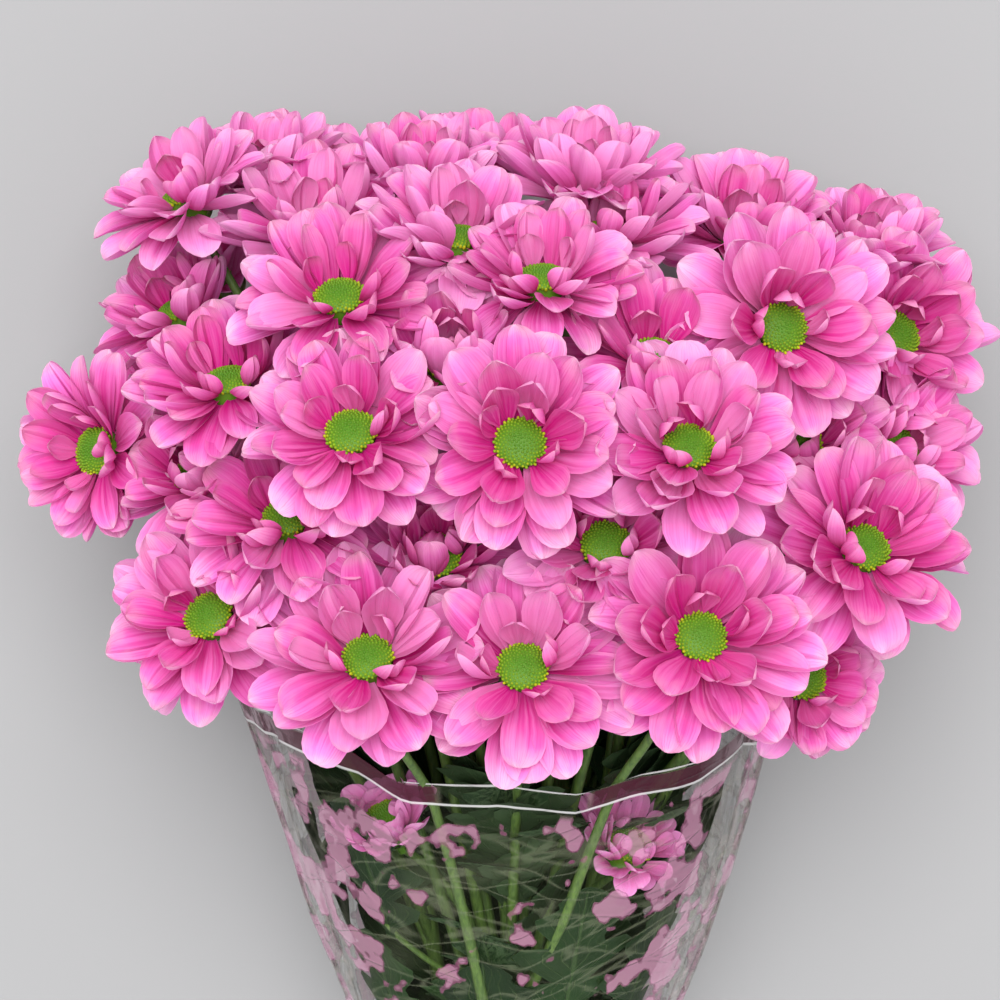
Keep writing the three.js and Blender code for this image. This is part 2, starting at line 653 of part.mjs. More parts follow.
// The petals of one bloom and the ring that joins them, one closed solid round the receptacle.
function buildPetals(bloom, petals) {
  const solid = new Solid();
  const count = bloom.form.petalsPerRow;
  const levels = RING_LEVELS.map(([out, height], level) => (
    solid.ring(bloomRing(bloom, count, out, height, level % 2 ? 0.5 : 0))));
  const hole = solid.ring(bloomRing(bloom, count, HOLE_RADIUS, HOLE_HEIGHT));
  const at = (level, half) => levels[level][(Math.floor(half / 2) + 2 * count) % count];
  const zigzag = (low, high) => levels[low].flatMap((index, i) => [index, levels[high][i]]);
  solid.band(hole, zigzag(0, 1));
  solid.band(zigzag(2, 3), hole);
  const faces = petalFaces(bloom.form.shoulders.length);
  petals.forEach(({ root: { tier, half }, points }) => {
    const corners = [at(tier, half), at(tier + 1, half + 1), at(tier + 2, half), at(tier + 1, half - 1)];
    if (!points) {
      solid.faces.push([corners[0], corners[1], corners[2]], [corners[0], corners[2], corners[3]]);
      return;
    }
    const blade = [...corners, ...solid.ring(points.slice(4))];
    faces.forEach((face) => solid.faces.push(face.map((i) => blade[i])));
  });
  return solid;
}

function makeMesh(name, manifold, look) {
  const material = new THREE.MeshStandardMaterial({ metalness: 0, ...look });
  const mesh = new THREE.Mesh(toGeometry(manifold), material);
  mesh.name = name;
  return mesh;
}

const STEM_NAMES = ['front', 'right_front', 'right_back', 'left_back', 'left_front', 'crown'];

// Puts the bunch together upright: sprays first, then the petals, which make way for them.
function buildBunch() {
  const bunch = new THREE.Group();
  const facets = [];
  STEM_NAMES.forEach((stemName, stem) => {
    const solids = [
      buildStem(stem),
      ...bloomsOf(stem).map((bloom) => buildStalk(bloom, stem)),
      ...SLEEVE_LEAVES.filter(([leafStem]) => leafStem === stem).flatMap(buildSleeveLeaf),
      ...bloomsOf(stem)
        .filter(({ name }) => NECK_LEAVES.includes(name))
        .map((bloom) => buildNeckLeaf(bloom, stem)),
    ];
    solids.forEach((solid) => facets.push(...solidFacets(solid)));
    const spray = solids.map((solid) => solid.toManifold()).reduce((sum, next) => sum.add(next));
    bunch.add(makeMesh(`spray_${stemName}`, spray, GREEN_LOOK));
  });
  BLOOMS.forEach((bloom) => {
    const petals = buildPetals(bloom, fitPetals(bloom, facets));
    bunch.add(makeMesh(`petals_${bloom.name}`, petals.toManifold(), PETAL_LOOK));
  });
  bunch.add(makeMesh('sleeve', buildSleeve().toManifold(), FILM_LOOK));
  return bunch;
}

// Lays the bunch on its back, with the middle of its underside at the origin.
function layDown(bunch) {
  const lying = new THREE.Group();
  bunch.rotation.x = LYING_PITCH - Math.PI / 2;
  lying.add(bunch);
  lying.updateMatrixWorld(true);
  const box = new THREE.Box3().setFromObject(lying, true);
  const middle = box.getCenter(point(0, 0, 0));
  lying.position.set(-middle.x, -middle.y, -box.min.z);
  lying.updateMatrixWorld(true);
  return lying;
}

export default layDown(buildBunch());
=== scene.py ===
# %% [markdown]
# # A bunch of pink spray chrysanthemums in its film sleeve
#
# The solids of the bunch give every bloom its place, its facing and the rise of its petals. This
# lesson dresses them: petals with veins, discs of tiny florets, lobed leaves, ribbed stems and a
# creased film sleeve. Each thing that repeats is modelled once and copied.

# %% Load the frame
import math

import bmesh
import bpy
import numpy as np
from mathutils import Matrix, Vector


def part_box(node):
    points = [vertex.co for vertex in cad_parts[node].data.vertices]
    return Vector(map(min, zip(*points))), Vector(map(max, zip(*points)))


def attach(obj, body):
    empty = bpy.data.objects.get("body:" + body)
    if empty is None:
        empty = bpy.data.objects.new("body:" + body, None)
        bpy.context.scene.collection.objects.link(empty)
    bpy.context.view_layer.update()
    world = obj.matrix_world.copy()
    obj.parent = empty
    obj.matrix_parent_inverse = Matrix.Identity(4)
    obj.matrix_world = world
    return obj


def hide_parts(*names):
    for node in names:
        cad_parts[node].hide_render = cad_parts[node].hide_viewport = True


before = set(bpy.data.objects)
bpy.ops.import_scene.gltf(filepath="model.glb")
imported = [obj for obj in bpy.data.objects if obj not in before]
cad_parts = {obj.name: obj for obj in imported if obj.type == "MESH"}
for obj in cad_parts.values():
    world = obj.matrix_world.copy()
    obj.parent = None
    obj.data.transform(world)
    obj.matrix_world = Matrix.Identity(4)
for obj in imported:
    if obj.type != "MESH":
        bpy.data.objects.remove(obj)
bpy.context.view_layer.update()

MM = 0.001
chance = np.random.default_rng(8)

# %% [markdown]
# ## Standing up, lying down
#
# A bunch is easiest to think of as standing: z up the stems, y away from the viewer, and z = 0 at
# the rim of the sleeve. Without a vase it lies on its back. It could be modelled lying, with every
# place worked out on the slope, but it is simpler to model it standing and to tip it by one matrix.
# The sleeve's own box says where the rim came to lie.

# %% The matrix that lays the bunch down
LYING_PITCH = math.radians(9.8)
RIM_ACROSS = 92 * MM
RIM_DEEP = 80 * MM

sleeve_low, sleeve_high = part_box("sleeve")
rim_middle = Vector((
    (sleeve_low.x + sleeve_high.x) / 2,
    sleeve_high.y - RIM_DEEP * math.sin(LYING_PITCH),
    sleeve_high.z - RIM_DEEP * math.cos(LYING_PITCH),
))
lay_down = Matrix.Translation(rim_middle) @ Matrix.Rotation(LYING_PITCH - math.pi / 2, 4, "X")
stand_up = lay_down.inverted()
print("middle of the rim:", tuple(round(c, 4) for c in rim_middle))


def moved(points, matrix):
    """Many points, as rows of an array, moved by one matrix."""
    m = np.array(matrix)
    return points @ m[:3, :3].T + m[:3, 3]


# %% [markdown]
# ## The camera
#
# The bunch is seen from 1.2 m away and 20 degrees above its front. The lens follows from how much
# of the bunch a pixel shows, and because the camera is set out in the standing bunch, it tips over
# with it.

# %% Camera
VIEW_TARGET = Vector((-3, 0, 79.7)) * MM
VIEW_ELEVATION = math.radians(20)
VIEW_DISTANCE = 1200 * MM
PIXEL = 0.351 * MM
PIXELS_ACROSS = 1000
SENSOR_WIDTH = 36

away = Vector((0, math.cos(VIEW_ELEVATION), -math.sin(VIEW_ELEVATION)))
picture_up = Vector((0, math.sin(VIEW_ELEVATION), math.cos(VIEW_ELEVATION)))
eye = VIEW_TARGET - VIEW_DISTANCE * away
camera_axes = Matrix((Vector((1, 0, 0)), picture_up, -away)).transposed().to_4x4()

bpy.ops.object.select_all(action="DESELECT")
bpy.ops.object.camera_add()
camera = bpy.context.object
camera.name = "camera"
camera.matrix_world = lay_down @ Matrix.Translation(eye) @ camera_axes
camera.data.sensor_width = SENSOR_WIDTH
camera.data.lens = SENSOR_WIDTH * VIEW_DISTANCE / (PIXEL * PIXELS_ACROSS)
bpy.context.scene.camera = camera
print("lens:", round(camera.data.lens, 2), "mm")

# %% [markdown]
# ## Modelling helpers
#
# In edit mode an operator acts on what is selected, and in a script the hand that clicks is a
# test on each point's place. A bunch has thousands of petals, buds and leaves. Each could be an
# object of its own, but it is lighter to model one, keep its points in an array, and write all of
# its copies into one mesh for each bloom or stem.

# %% Selecting by place, and modifiers
THIN_EDGE = 0.12


def start(add, **settings):
    """Adds a primitive with nothing else selected, and opens it for editing."""
    bpy.ops.object.select_all(action="DESELECT")
    add(**settings)
    bpy.ops.object.mode_set(mode="EDIT")
    bpy.context.tool_settings.mesh_select_mode = (True, False, False)
    return bpy.context.object


def pick(test):
    """Selects the points of the open mesh whose place passes the test, and gives their middle."""
    mesh = bmesh.from_edit_mesh(bpy.context.object.data)
    for vert in mesh.verts:
        vert.select = bool(test(vert.co))
    mesh.select_flush(True)
    mesh.select_flush(False)
    bmesh.update_edit_mesh(bpy.context.object.data)
    chosen = [vert.co.copy() for vert in mesh.verts if vert.select]
    return sum(chosen, Vector()) / max(len(chosen), 1)


def leave_edit_mode():
    if bpy.context.mode != "OBJECT":
        bpy.ops.object.mode_set(mode="OBJECT")


def finish_with(piece, kind, **settings):
    """Leaves edit mode, and adds and applies one modifier."""
    leave_edit_mode()
    modifier = piece.modifiers.new(kind.lower(), kind)
    for name, value in settings.items():
        setattr(modifier, name, value)
    bpy.ops.object.modifier_apply(modifier=modifier.name)


def solidify_thin_edged(piece, thickness):
    """Gives the open sheet a thickness that thins out to almost nothing round its edge."""
    bpy.ops.mesh.select_all(action="SELECT")
    bpy.ops.mesh.region_to_loop()
    bpy.ops.mesh.select_all(action="INVERT")
    bpy.ops.object.vertex_group_assign_new()
    finish_with(
        piece, "SOLIDIFY", thickness=thickness, offset=0,
        vertex_group=piece.vertex_groups.active.name, thickness_vertex_group=THIN_EDGE)


print("a thin edge keeps", THIN_EDGE, "of the thickness")

# %% Keeping a shape, and copying it many times into one mesh
class Shape:
    """A finished shape that is kept as points, faces and pattern places, ready to be copied."""

    def __init__(self, piece):
        leave_edit_mode()
        mesh = piece.data
        self.points = np.array([v.co[:] for v in mesh.vertices])
        self.under = np.array([1.0 if v.normal.z < 0 else 0.0 for v in mesh.vertices])
        self.faces = [tuple(p.vertices) for p in mesh.polygons]
        layer = mesh.uv_layers.active
        self.pattern = np.array([c.uv[:] for c in layer.data]) if layer else None
        bpy.data.objects.remove(piece)


def copied(name, placed, finish, sharp=50):
    """One mesh of many copies. Each is a shape, its points in place, and its own values."""
    points, faces, pattern = [], [], []
    values = {key: [] for key in (*placed[0][2], "under")}
    first = 0
    for shape, place, held in placed:
        points.append(place)
        faces.extend(tuple(first + i for i in face) for face in shape.faces)
        if shape.pattern is not None:
            pattern.append(shape.pattern)
        for key, value in (*held.items(), ("under", shape.under)):
            values[key].append(np.full(len(place), value, float))
        first += len(place)
    mesh = bpy.data.meshes.new(name)
    mesh.from_pydata(moved(np.concatenate(points), lay_down).tolist(), [], faces)
    if pattern:
        mesh.uv_layers.new(name="UVMap").data.foreach_set("uv", np.concatenate(pattern).ravel())
    for key, rows in values.items():
        mesh.attributes.new(key, "FLOAT", "POINT").data.foreach_set("value", np.concatenate(rows))
    mesh.shade_smooth()
    mesh.set_sharp_from_angle(angle=math.radians(sharp))
    mesh.materials.append(finish)
    piece = bpy.data.objects.new(name, mesh)
    bpy.context.scene.collection.objects.link(piece)
    return piece


def hand_over(piece, node):
    """Hangs a piece on the root, and hides the solid of the frame that it stands for."""
    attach(piece, "root")
    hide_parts(node)


print("every piece rides on:", "root")

# %% [markdown]
# ## Shader maths
#
# A material's pattern is sums on sockets. They could be wired by hand, node by node, but one small
# class lets them be written as ordinary maths, and one method makes every other node.

# %% Numbers on sockets
class Number:
    """A socket that gives a number, and the maths that the patterns need."""

    def __init__(self, finish, socket):
        self.finish, self.socket = finish, socket

    def maths(self, operation, *values):
        node = self.finish.node("ShaderNodeMath", {"operation": operation}, dict(enumerate(values)))
        return Number(self.finish, node.outputs[0])

    def __add__(self, other):
        return self.maths("ADD", self, other)

    def __sub__(self, other):
        return self.maths("SUBTRACT", self, other)

    def __rsub__(self, other):
        return self.maths("SUBTRACT", other, self)

    def __mul__(self, other):
        return self.maths("MULTIPLY", self, other)

    def __abs__(self):
        return self.maths("ABSOLUTE", self)

    __radd__, __rmul__ = __add__, __mul__

    def sine(self):
        return self.maths("SINE", self)

    def most(self, other):
        return self.maths("MAXIMUM", self, other)

    def rise(self, low, high):
        """Goes smoothly from 0 at low to 1 at high."""
        values = {"Value": self, "From Min": low, "From Max": high}
        node = self.finish.node("ShaderNodeMapRange", {"interpolation_type": "SMOOTHSTEP"}, values)
        return Number(self.finish, node.outputs[0])


# %% A material in the making
def colour(red, green, blue):
    """A colour as a screen shows it, from 0 to 255, made linear."""
    channels = [c / 255 for c in (red, green, blue)]
    return (*(c / 12.92 if c <= 0.04045 else ((c + 0.055) / 1.055) ** 2.4 for c in channels), 1.0)


class Finish:
    """A material's nodes, with a method for each kind that is used."""

    def __init__(self, name):
        self.material = bpy.data.materials.new(name)
        self.material.use_nodes = True
        self.tree = self.material.node_tree
        self.tree.nodes.clear()

    def node(self, kind, settings=None, values=None):
        node = self.tree.nodes.new(kind)
        for name, value in (settings or {}).items():
            setattr(node, name, value)
        for name, value in (values or {}).items():
            source = value.socket if isinstance(value, Number) else value
            if isinstance(source, bpy.types.NodeSocket):
                self.tree.links.new(source, node.inputs[name])
            else:
                node.inputs[name].default_value = source
        return node

    def held(self, name):
        """A value that the mesh holds at its points."""
        return Number(self, self.node("ShaderNodeAttribute", {"attribute_name": name}).outputs["Fac"])

    def pattern_place(self):
        """Where a point is on its shape: across it and along it, each from 0 to 1."""
        pattern = self.node("ShaderNodeUVMap", {"uv_map": "UVMap"}).outputs[0]
        split = self.node("ShaderNodeSeparateXYZ", None, {0: pattern})
        return [Number(self, socket) for socket in split.outputs[:2]]

    def join(self, *parts):
        return self.node("ShaderNodeCombineXYZ", None, dict(enumerate(parts))).outputs[0]

    def place(self, stretch=(1, 1, 1)):
        """Object coordinates, stretched."""
        coordinates = self.node("ShaderNodeTexCoord").outputs["Object"]
        return self.node("ShaderNodeMapping", None, {"Vector": coordinates, "Scale": stretch}).outputs[0]

    def noise(self, vector, scale, detail=2.0, roughness=0.5):
        values = {"Vector": vector, "Scale": scale, "Detail": detail, "Roughness": roughness}
        return Number(self, self.node("ShaderNodeTexNoise", None, values).outputs["Fac"])

    def painted(self, ground, *coats):
        """A ground colour under coats of others, each with the share of it that covers."""
        body = colour(*ground)
        for share, coat in coats:
            values = {0: share, 6: body, 7: colour(*coat)}
            body = self.node("ShaderNodeMix", {"data_type": "RGBA"}, values).outputs[2]
        return body

    def gloss(self, body, roughness, specular, height=None, depth=0.0):
        """A surface of this colour and shine, with a bump where it has a height."""
        values = {"Base Color": body, "Roughness": roughness, "Specular IOR Level": specular}
        if height is not None:
            values["Normal"] = self.node(
                "ShaderNodeBump", None, {"Height": height, "Distance": depth}).outputs[0]
        return self.node("ShaderNodeBsdfPrincipled", None, values).outputs[0]

    def between(self, share, first, second):
        """A shader between two."""
        return self.node("ShaderNodeMixShader", None, {0: share, 1: first, 2: second}).outputs[0]

    def done(self, shader):
        self.node("ShaderNodeOutputMaterial", None, {"Surface": shader})
        return self.material


print("methods of a finish:", [name for name in vars(Finish) if not name.startswith("_")])

# %% [markdown]
# ## What a petal is made of
#
# A chrysanthemum petal is thin and a little see-through. Fine veins run from its narrow foot to its tip,
# darker than the rest. It is deep magenta at the foot, deepened further as painted shade low in the
# bloom, and the rows nearest the disc are painted deeper still as the shade in the bloom's middle. It is
# pale pink at the tip and along its edges, and its underside is paler. Veins could be modelled, but they
# are far finer than the faces, so they are stripes in the material, across the pattern's u. They run
# together at both ends because the petal narrows there. The number that each copy holds as its tint moves
# the noise, so that no two petals are alike.

# %% Petal material
PETAL_VEINS = 17


def petal_finish():
    finish = Finish("petal")
    across, along = finish.pattern_place()
    tint = finish.held("tint")
    heart = finish.held("heart")
    wander = finish.noise(finish.join(across * 4, along * 1.6, tint * 40), 1.0, 3.0)
    vein_wave = (across * 2 * math.pi * PETAL_VEINS + wander * 9).sine()
    veins = vein_wave.rise(0.1, 1.0) * finish.noise(
        finish.join(across * 14, along * 3, tint * 20), 1.0, 2.0).rise(0.3, 0.7)
    streaks = finish.noise(finish.join(across * 11, along * 0.8, tint * 70), 1.0, 3.0).rise(0.3, 0.72)
    clouds = finish.noise(finish.join(across * 1.8, along * 2.5, tint * 90), 1.0, 2.0).rise(0.3, 0.7)
    edge = abs(across - 0.5).rise(0.4, 0.5)
    blade = (along + (streaks - 0.5) * 0.2).rise(-0.02, 0.7)
    tip = (along + (clouds - 0.5) * 0.3).rise(0.35, 1.05)
    pale_copy = tint.rise(0.5, 1.0)
    deep_copy = 1 - tint.rise(0.0, 0.4)

    # painted shade: the deep ground at the foot is partly the petal's own magenta and partly shade low in
    # the bloom, and the rows nearest the disc are painted deeper as the shade in the bloom's middle
    body = finish.painted(
        (202, 0, 122),
        (blade, (252, 136, 228)),
        (tip * 0.92, (250, 226, 238)),
        (clouds * 0.28 * (1 - along * 0.5), (242, 72, 188)),
        (streaks * (along * 0.14 + 0.08), (250, 214, 240)),
        (veins * 0.3, (216, 46, 160)),
        (edge * 0.12, (252, 212, 242)),
        (heart * 0.4, (222, 6, 142)),
        (pale_copy * 0.45, (250, 184, 234)),
        (deep_copy * 0.32, (226, 40, 158)),
        (finish.held("under") * 0.25, (246, 164, 228)))
    surface = finish.gloss(body, 0.6, 0.03, veins * 0.4 + streaks, 0.12 * MM)
    through = finish.node("ShaderNodeBsdfTranslucent", None, {"Color": body}).outputs[0]
    return finish.done(finish.between(0.38, surface, through))


petal_material = petal_finish()
print("material:", petal_material.name)

# %% [markdown]
# ## One petal, in several poses
#
# A petal is a soft strip with a round tip, a shallow trough and two grooves. It could be sculpted,
# but a grid is the better start, because its rows can be widened and narrowed one by one to give
# the outline. Its columns are lifted first, for the trough. Then all the rows beyond each row are
# turned a little, which bends the petal as a strip of paper is bent. Solidify gives it a thickness.

# %% The petal
PETAL_LENGTH = 30 * MM
PETAL_WIDTH = 14.8 * MM
PETAL_THICKNESS = 0.3 * MM
PETAL_ROWS = [0, 0.15, 0.34, 0.54, 0.72, 0.84, 0.92, 0.975, 1.0]
PETAL_OUTLINE = [0.28, 0.5, 0.79, 0.97, 1.0, 0.92, 0.75, 0.46, 0.14]
PETAL_COLUMNS = 6
PETAL_TROUGH = {0: 0.1, 1: -0.25, 2: 0.3, 3: 1.0}
TIP_FROM = 0.6
FOOT_BEND = 0.4
BEND_GROWTH = 1.2
NEAR_IN_GRID = 0.01
NEAR = 1e-6


def widen_rows(places, outline, lift=1.0):
    """Moves the rows of a unit grid to their places from 0 to 1, and gives each its width."""
    rows = len(places) - 1
    for row, (place, width) in enumerate(zip(places, outline)):
        level = row / rows - 0.5
        pick(lambda p: abs(p.y - level) < NEAR_IN_GRID)
        bpy.ops.transform.resize(value=(width, 1, width * lift), center_override=(0, level, 0))
        bpy.ops.transform.translate(value=(0, place + 1 - level, 0))
    pick(lambda p: True)
    bpy.ops.transform.translate(value=(0, -1, 0))


def make_strip(columns, lifts, places, outline, lift_kept=1.0):
    """A grid with its columns lifted, counted from the middle, and its rows placed and widened."""
    piece = start(
        bpy.ops.mesh.primitive_grid_add,
        x_subdivisions=columns, y_subdivisions=len(places) - 1, size=1)
    for column, lift in lifts.items():
        pick(lambda p: abs(abs(p.x) - column / columns) < NEAR_IN_GRID)
        bpy.ops.transform.translate(value=(0, 0, lift))
    widen_rows(places, outline, lift_kept)
    return piece


def bend_rows(places, length, bend, twist):
    """Bends a strip up and twists it, row by row from the tip to the foot."""
    for before, place, after in list(zip(places, places[1:], places[2:]))[::-1]:
        share = (after - before) / 2
        hinge = pick(lambda p: abs(p.y - place * length) < NEAR)
        pick(lambda p: p.y > place * length + NEAR)
        turn = math.radians(bend) * share * (FOOT_BEND + BEND_GROWTH * place)
        bpy.ops.transform.rotate(value=-turn, orient_axis="X", center_override=hinge)
        turn = math.radians(twist) * share
        bpy.ops.transform.rotate(value=turn, orient_axis="Y", center_override=hinge)


def make_petal(bend, cup, twist, point):
    """A petal that bends up by an angle along its length, with a trough, a twist and a tip."""
    trough = {column: lift * cup for column, lift in PETAL_TROUGH.items()}
    outline = [
        width * (1 - point * max(place - TIP_FROM, 0)) for place, width in zip(PETAL_ROWS, PETAL_OUTLINE)]
    piece = make_strip(PETAL_COLUMNS, trough, PETAL_ROWS, outline)
    bpy.ops.transform.resize(
        value=(PETAL_WIDTH, PETAL_LENGTH, PETAL_WIDTH), center_override=(0, 0, 0))
    bend_rows(PETAL_ROWS, PETAL_LENGTH, bend, twist)
    solidify_thin_edged(piece, PETAL_THICKNESS)
    return Shape(piece)


# bend in degrees, depth of the trough, twist in degrees, and how pointed the tip is
FLAT_PETALS = [make_petal(*pose) for pose in (
    (-34, 0.14, 10, 0.2), (-14, 0.2, -14, 0.5), (4, 0.24, 8, 0.0), (20, 0.17, -8, 0.7),
    (38, 0.26, 12, 0.3),
)]
CUPPED_PETALS = [make_petal(*pose) for pose in (
    (34, 0.28, 8, 0.2), (54, 0.34, -10, 0.5), (74, 0.36, 6, 0.0),
)]
print("petal poses:", len(FLAT_PETALS) + len(CUPPED_PETALS), "faces each:", len(FLAT_PETALS[0].faces))

# %% [markdown]
# ## Where the blooms are
#
# A bloom faces where its stalk and its neighbours let it, and its petals rise more on the side that
# is pressed. All that could be typed in again, but the solids hold it already. Each has a ring of
# points round its axis. The middle of those points is the bloom's centre, the direction in which
# they spread least is its axis, and the tip of each of its broad petals gives a rise and a reach.
# The finer petals take theirs from the two nearest tips.

# %% Read the blooms from the solids
RING_RADIUS = 9.6 * MM
RING_FLATNESS = 0.423
RING_STEPS = 8
RING_MIDDLE = -0.8 * MM
RING_POINTS = 5
MOST_TRIANGLES_OF_FIVE = 150
ROOT_OUT = 8.4 * MM
ROOT_HEIGHTS = (-2.1 * MM, 0.4 * MM)
TIP_SPREAD = math.radians(3)


def find_ring(points, size):
    """The middle of a bloom's ring of so many points, the ring seen from there, and which they are."""
    # the middle of two points that face each other is a first guess, which their neighbours mend
    gaps = np.linalg.norm(points[:, None] - points[None], axis=2)
    ones, others = np.nonzero((gaps > 1.5 * RING_RADIUS) & (gaps < 2 * RING_RADIUS))
    middles = (points[ones] + points[others]) / 2
    for _ in range(RING_STEPS):
        far = np.linalg.norm(points[None] - middles[:, None], axis=2)
        nearest = np.argpartition(far, size, axis=1)[:, :size]
        middles = np.unique(points[nearest].mean(1).round(7), axis=0)
    best = None
    for middle in middles:
        near = np.linalg.norm(points - middle, axis=1).argsort()[:size]
        ring = points[near] - middle
        spread = np.linalg.svd(ring)[1]
        unlike = abs(spread[1] / spread[0] - 1) + abs(spread[2] / spread[0] - RING_FLATNESS)
        if best is None or unlike < best[0]:
            best = (unlike, middle, ring, near)
    return best[1:]


class Bloom:
    """A bloom's place and facing, and how its solid's petals rise and reach, in two rows."""

    def __init__(self, name):
        self.name = name
        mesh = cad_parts["petals_" + name].data
        rows = np.array([v.co[:] for v in mesh.vertices]).round(6)
        points = moved(np.unique(rows, axis=0), stand_up)
        triangles = sum(len(p.vertices) - 2 for p in mesh.polygons)
        self.count = 5 if triangles <= MOST_TRIANGLES_OF_FIVE else 6
        middle, ring, near = find_ring(points, self.count * RING_POINTS)
        beyond = np.delete(points, near, axis=0)
        axis = np.linalg.svd(ring)[2][2]
        height = ring @ axis
        out = np.linalg.norm(ring - height[:, None] * axis, axis=1)
        if out[height.argmax()] < out[height.argmin()]:
            axis, height = -axis, -height
        foot = ring[height.argmin()]
        rear = foot - (foot @ axis) * axis
        self.axis = Vector(axis)
        self.rear = Vector(rear).normalized()
        self.side = self.axis.cross(self.rear)
        self.centre = Vector(middle) - RING_MIDDLE * self.axis
        self.rows = [self.read_row(beyond, tier) for tier in (0, 1)]
        self.reach = max(reach for _, reach in self.rows[0] if reach)
        lean = Vector()
        for i, (rise, _) in enumerate(self.rows[0]):
            lean += self.outward(2 * math.pi * i / self.count) * (rise or 0)
        self.upright = lean.normalized()

    def read_row(self, points, tier):
        """The rise and reach of each petal of a row, or None and 0 where one is missing."""
        local = (points - np.array(self.centre)) @ np.array([self.rear, self.side, self.axis]).T
        turns = np.arctan2(local[:, 1], local[:, 0])
        found = []
        for i in range(self.count):
            turn = 2 * math.pi * (i + tier / 2) / self.count
            off = np.abs((turns - turn + math.pi) % (2 * math.pi) - math.pi)
            out = np.hypot(local[:, 0], local[:, 1])[off < TIP_SPREAD] - ROOT_OUT
            up = local[:, 2][off < TIP_SPREAD] - ROOT_HEIGHTS[tier]
            if len(out) == 0:
                found.append((None, 0.0))
                continue
            tip = np.hypot(out, up).argmax()
            found.append((math.atan2(up[tip], out[tip]), math.hypot(out[tip], up[tip])))
        return found

    def at(self, turn, tier):
        """Rise and reach at any turn, between the two nearest petals of a row."""
        place = turn * self.count / (2 * math.pi) - tier / 2
        first = math.floor(place)
        share = place - first
        pair = [self.rows[tier][(first + i) % self.count] for i in (0, 1)]
        rises = [rise for rise, _ in pair if rise is not None]
        if not rises:
            return None, 0.0
        reach = pair[0][1] * (1 - share) + pair[1][1] * share
        return (rises[0] * (1 - share) + rises[-1] * share, reach)

    def outward(self, turn):
        return self.rear * math.cos(turn) + self.side * math.sin(turn)


blooms = [
    Bloom(name.removeprefix("petals_")) for name in sorted(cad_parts) if name.startswith("petals_")]
print("blooms:", len(blooms), "petals in a row:", sorted({bloom.count for bloom in blooms}))
reaches = sorted(round(bloom.reach / MM) for bloom in blooms)
print("reach in mm:", reaches[0], "to", reaches[-1])

# %% [markdown]
# ## Petals on the blooms
#
# A semi-double bloom has about three dozen petals: two rows of nine long ones behind, eight between,
# six that stand up, and four short ones that curl over the disc. An array modifier could set them
# evenly, but no bloom is even. A loop gives each its own turn, rise and size, and turns it a little
# about its own length, so that it lies over one neighbour and under the other.

# %% Set the petals
# how many, which row of the solid (0 outer, 1 inner), tilt in degrees, reach, width, height in mm,
# and poses
PETAL_ROWS_OF_BLOOM = [
    (9, 0.0, -7, 1.14, 1.0, -2.9, FLAT_PETALS),
    (9, 0.0, 4, 1.08, 1.0, -1.4, FLAT_PETALS),
    (8, 0.5, 2, 0.94, 0.94, 0.2, FLAT_PETALS),
    (6, 1.0, 0, 0.8, 0.84, 1.6, FLAT_PETALS[2:] + CUPPED_PETALS[:2]),
    (4, 1.0, 12, 0.5, 0.66, 2.8, CUPPED_PETALS),
]
LAST_ROW = len(PETAL_ROWS_OF_BLOOM) - 1
ROOT_SUNK = 0.6 * MM
USUAL_REACH = 24 * MM
INNER_REACH = 0.8
SHORTEST_PETAL = 4 * MM
OVERLAP_ROLL = math.radians(9)

# some young blooms are half closed, their petals steeper towards the disc, and some are smaller
CLOSED = ("hidden_left", "hidden_centre", "hidden_right", "right_edge", "behind_centre")
CLOSED_RISE = math.radians(34)
SHORTER = {"bottom_right": 0.8, "centre_left": 0.93, "centre_right": 0.93, "centre": 0.95}

# high blooms are paler, and so are the small ones
PALE_FROM = 120 * MM
PALE_FULL = 190 * MM
PALER = 0.25
SMALL_REACH = 0.8 * USUAL_REACH
SMALL_TINT = 0.9

# a petal that would reach through the floor is lifted step by step
FLOOR_GAP = 0.4 * MM
LIFT = math.radians(6)
LIFT_SHORTENS = 0.98
LIFTS = 14


def petal_place(bloom, shape, turn, rise, length, width, roll, height):
    """The points of one petal copy, in the standing bunch."""
    outward = bloom.outward(turn)
    along = outward * math.cos(rise) + bloom.axis * math.sin(rise)
    upper = bloom.axis * math.cos(rise) - outward * math.sin(rise)
    across = along.cross(upper)
    root = bloom.centre + outward * (ROOT_OUT - ROOT_SUNK) + bloom.axis * height
    axes = Matrix((across, along, upper)).transposed().to_4x4()
    scale = Matrix.Diagonal((width, length, (width + length) / 2, 1))
    return moved(shape.points, Matrix.Translation(root) @ axes @ Matrix.Rotation(roll, 4, "Y") @ scale)


def between_rows(bloom, turn, inner):
    """Rise and length at a turn, between the solid's outer row (0) and its inner one (1)."""
    outer_rise, outer_reach = bloom.at(turn, 0)
    inner_rise, inner_reach = bloom.at(turn, 1)
    if outer_rise is None:
        outer_rise, outer_reach = inner_rise, inner_reach
    if inner_rise is None:
        inner_rise, inner_reach = outer_rise, outer_reach
    if inner_rise is None:
        return None, 0.0
    rise = outer_rise * (1 - inner) + inner_rise * inner
    return rise, min(outer_reach, bloom.reach) * (1 - inner) + inner_reach / INNER_REACH * inner


def clear_of_floor(bloom, shape, turn, rise, length, width, roll, height):
    """The points of one petal copy, lifted step by step until it is clear of the floor."""
    for _ in range(LIFTS):
        place = petal_place(bloom, shape, turn, rise, length / PETAL_LENGTH, width, roll, height)
        if moved(place, lay_down)[:, 2].min() > FLOOR_GAP:
            break
        rise += LIFT
        length *= LIFT_SHORTENS
    return place


def tint_of(bloom):
    """How much paler than others a bloom is."""
    tint = chance.uniform(-0.2, 0.2)
    tint += PALER * min(max((bloom.centre.z - PALE_FROM) / (PALE_FULL - PALE_FROM), 0), 1)
    return SMALL_TINT if bloom.reach < SMALL_REACH else tint


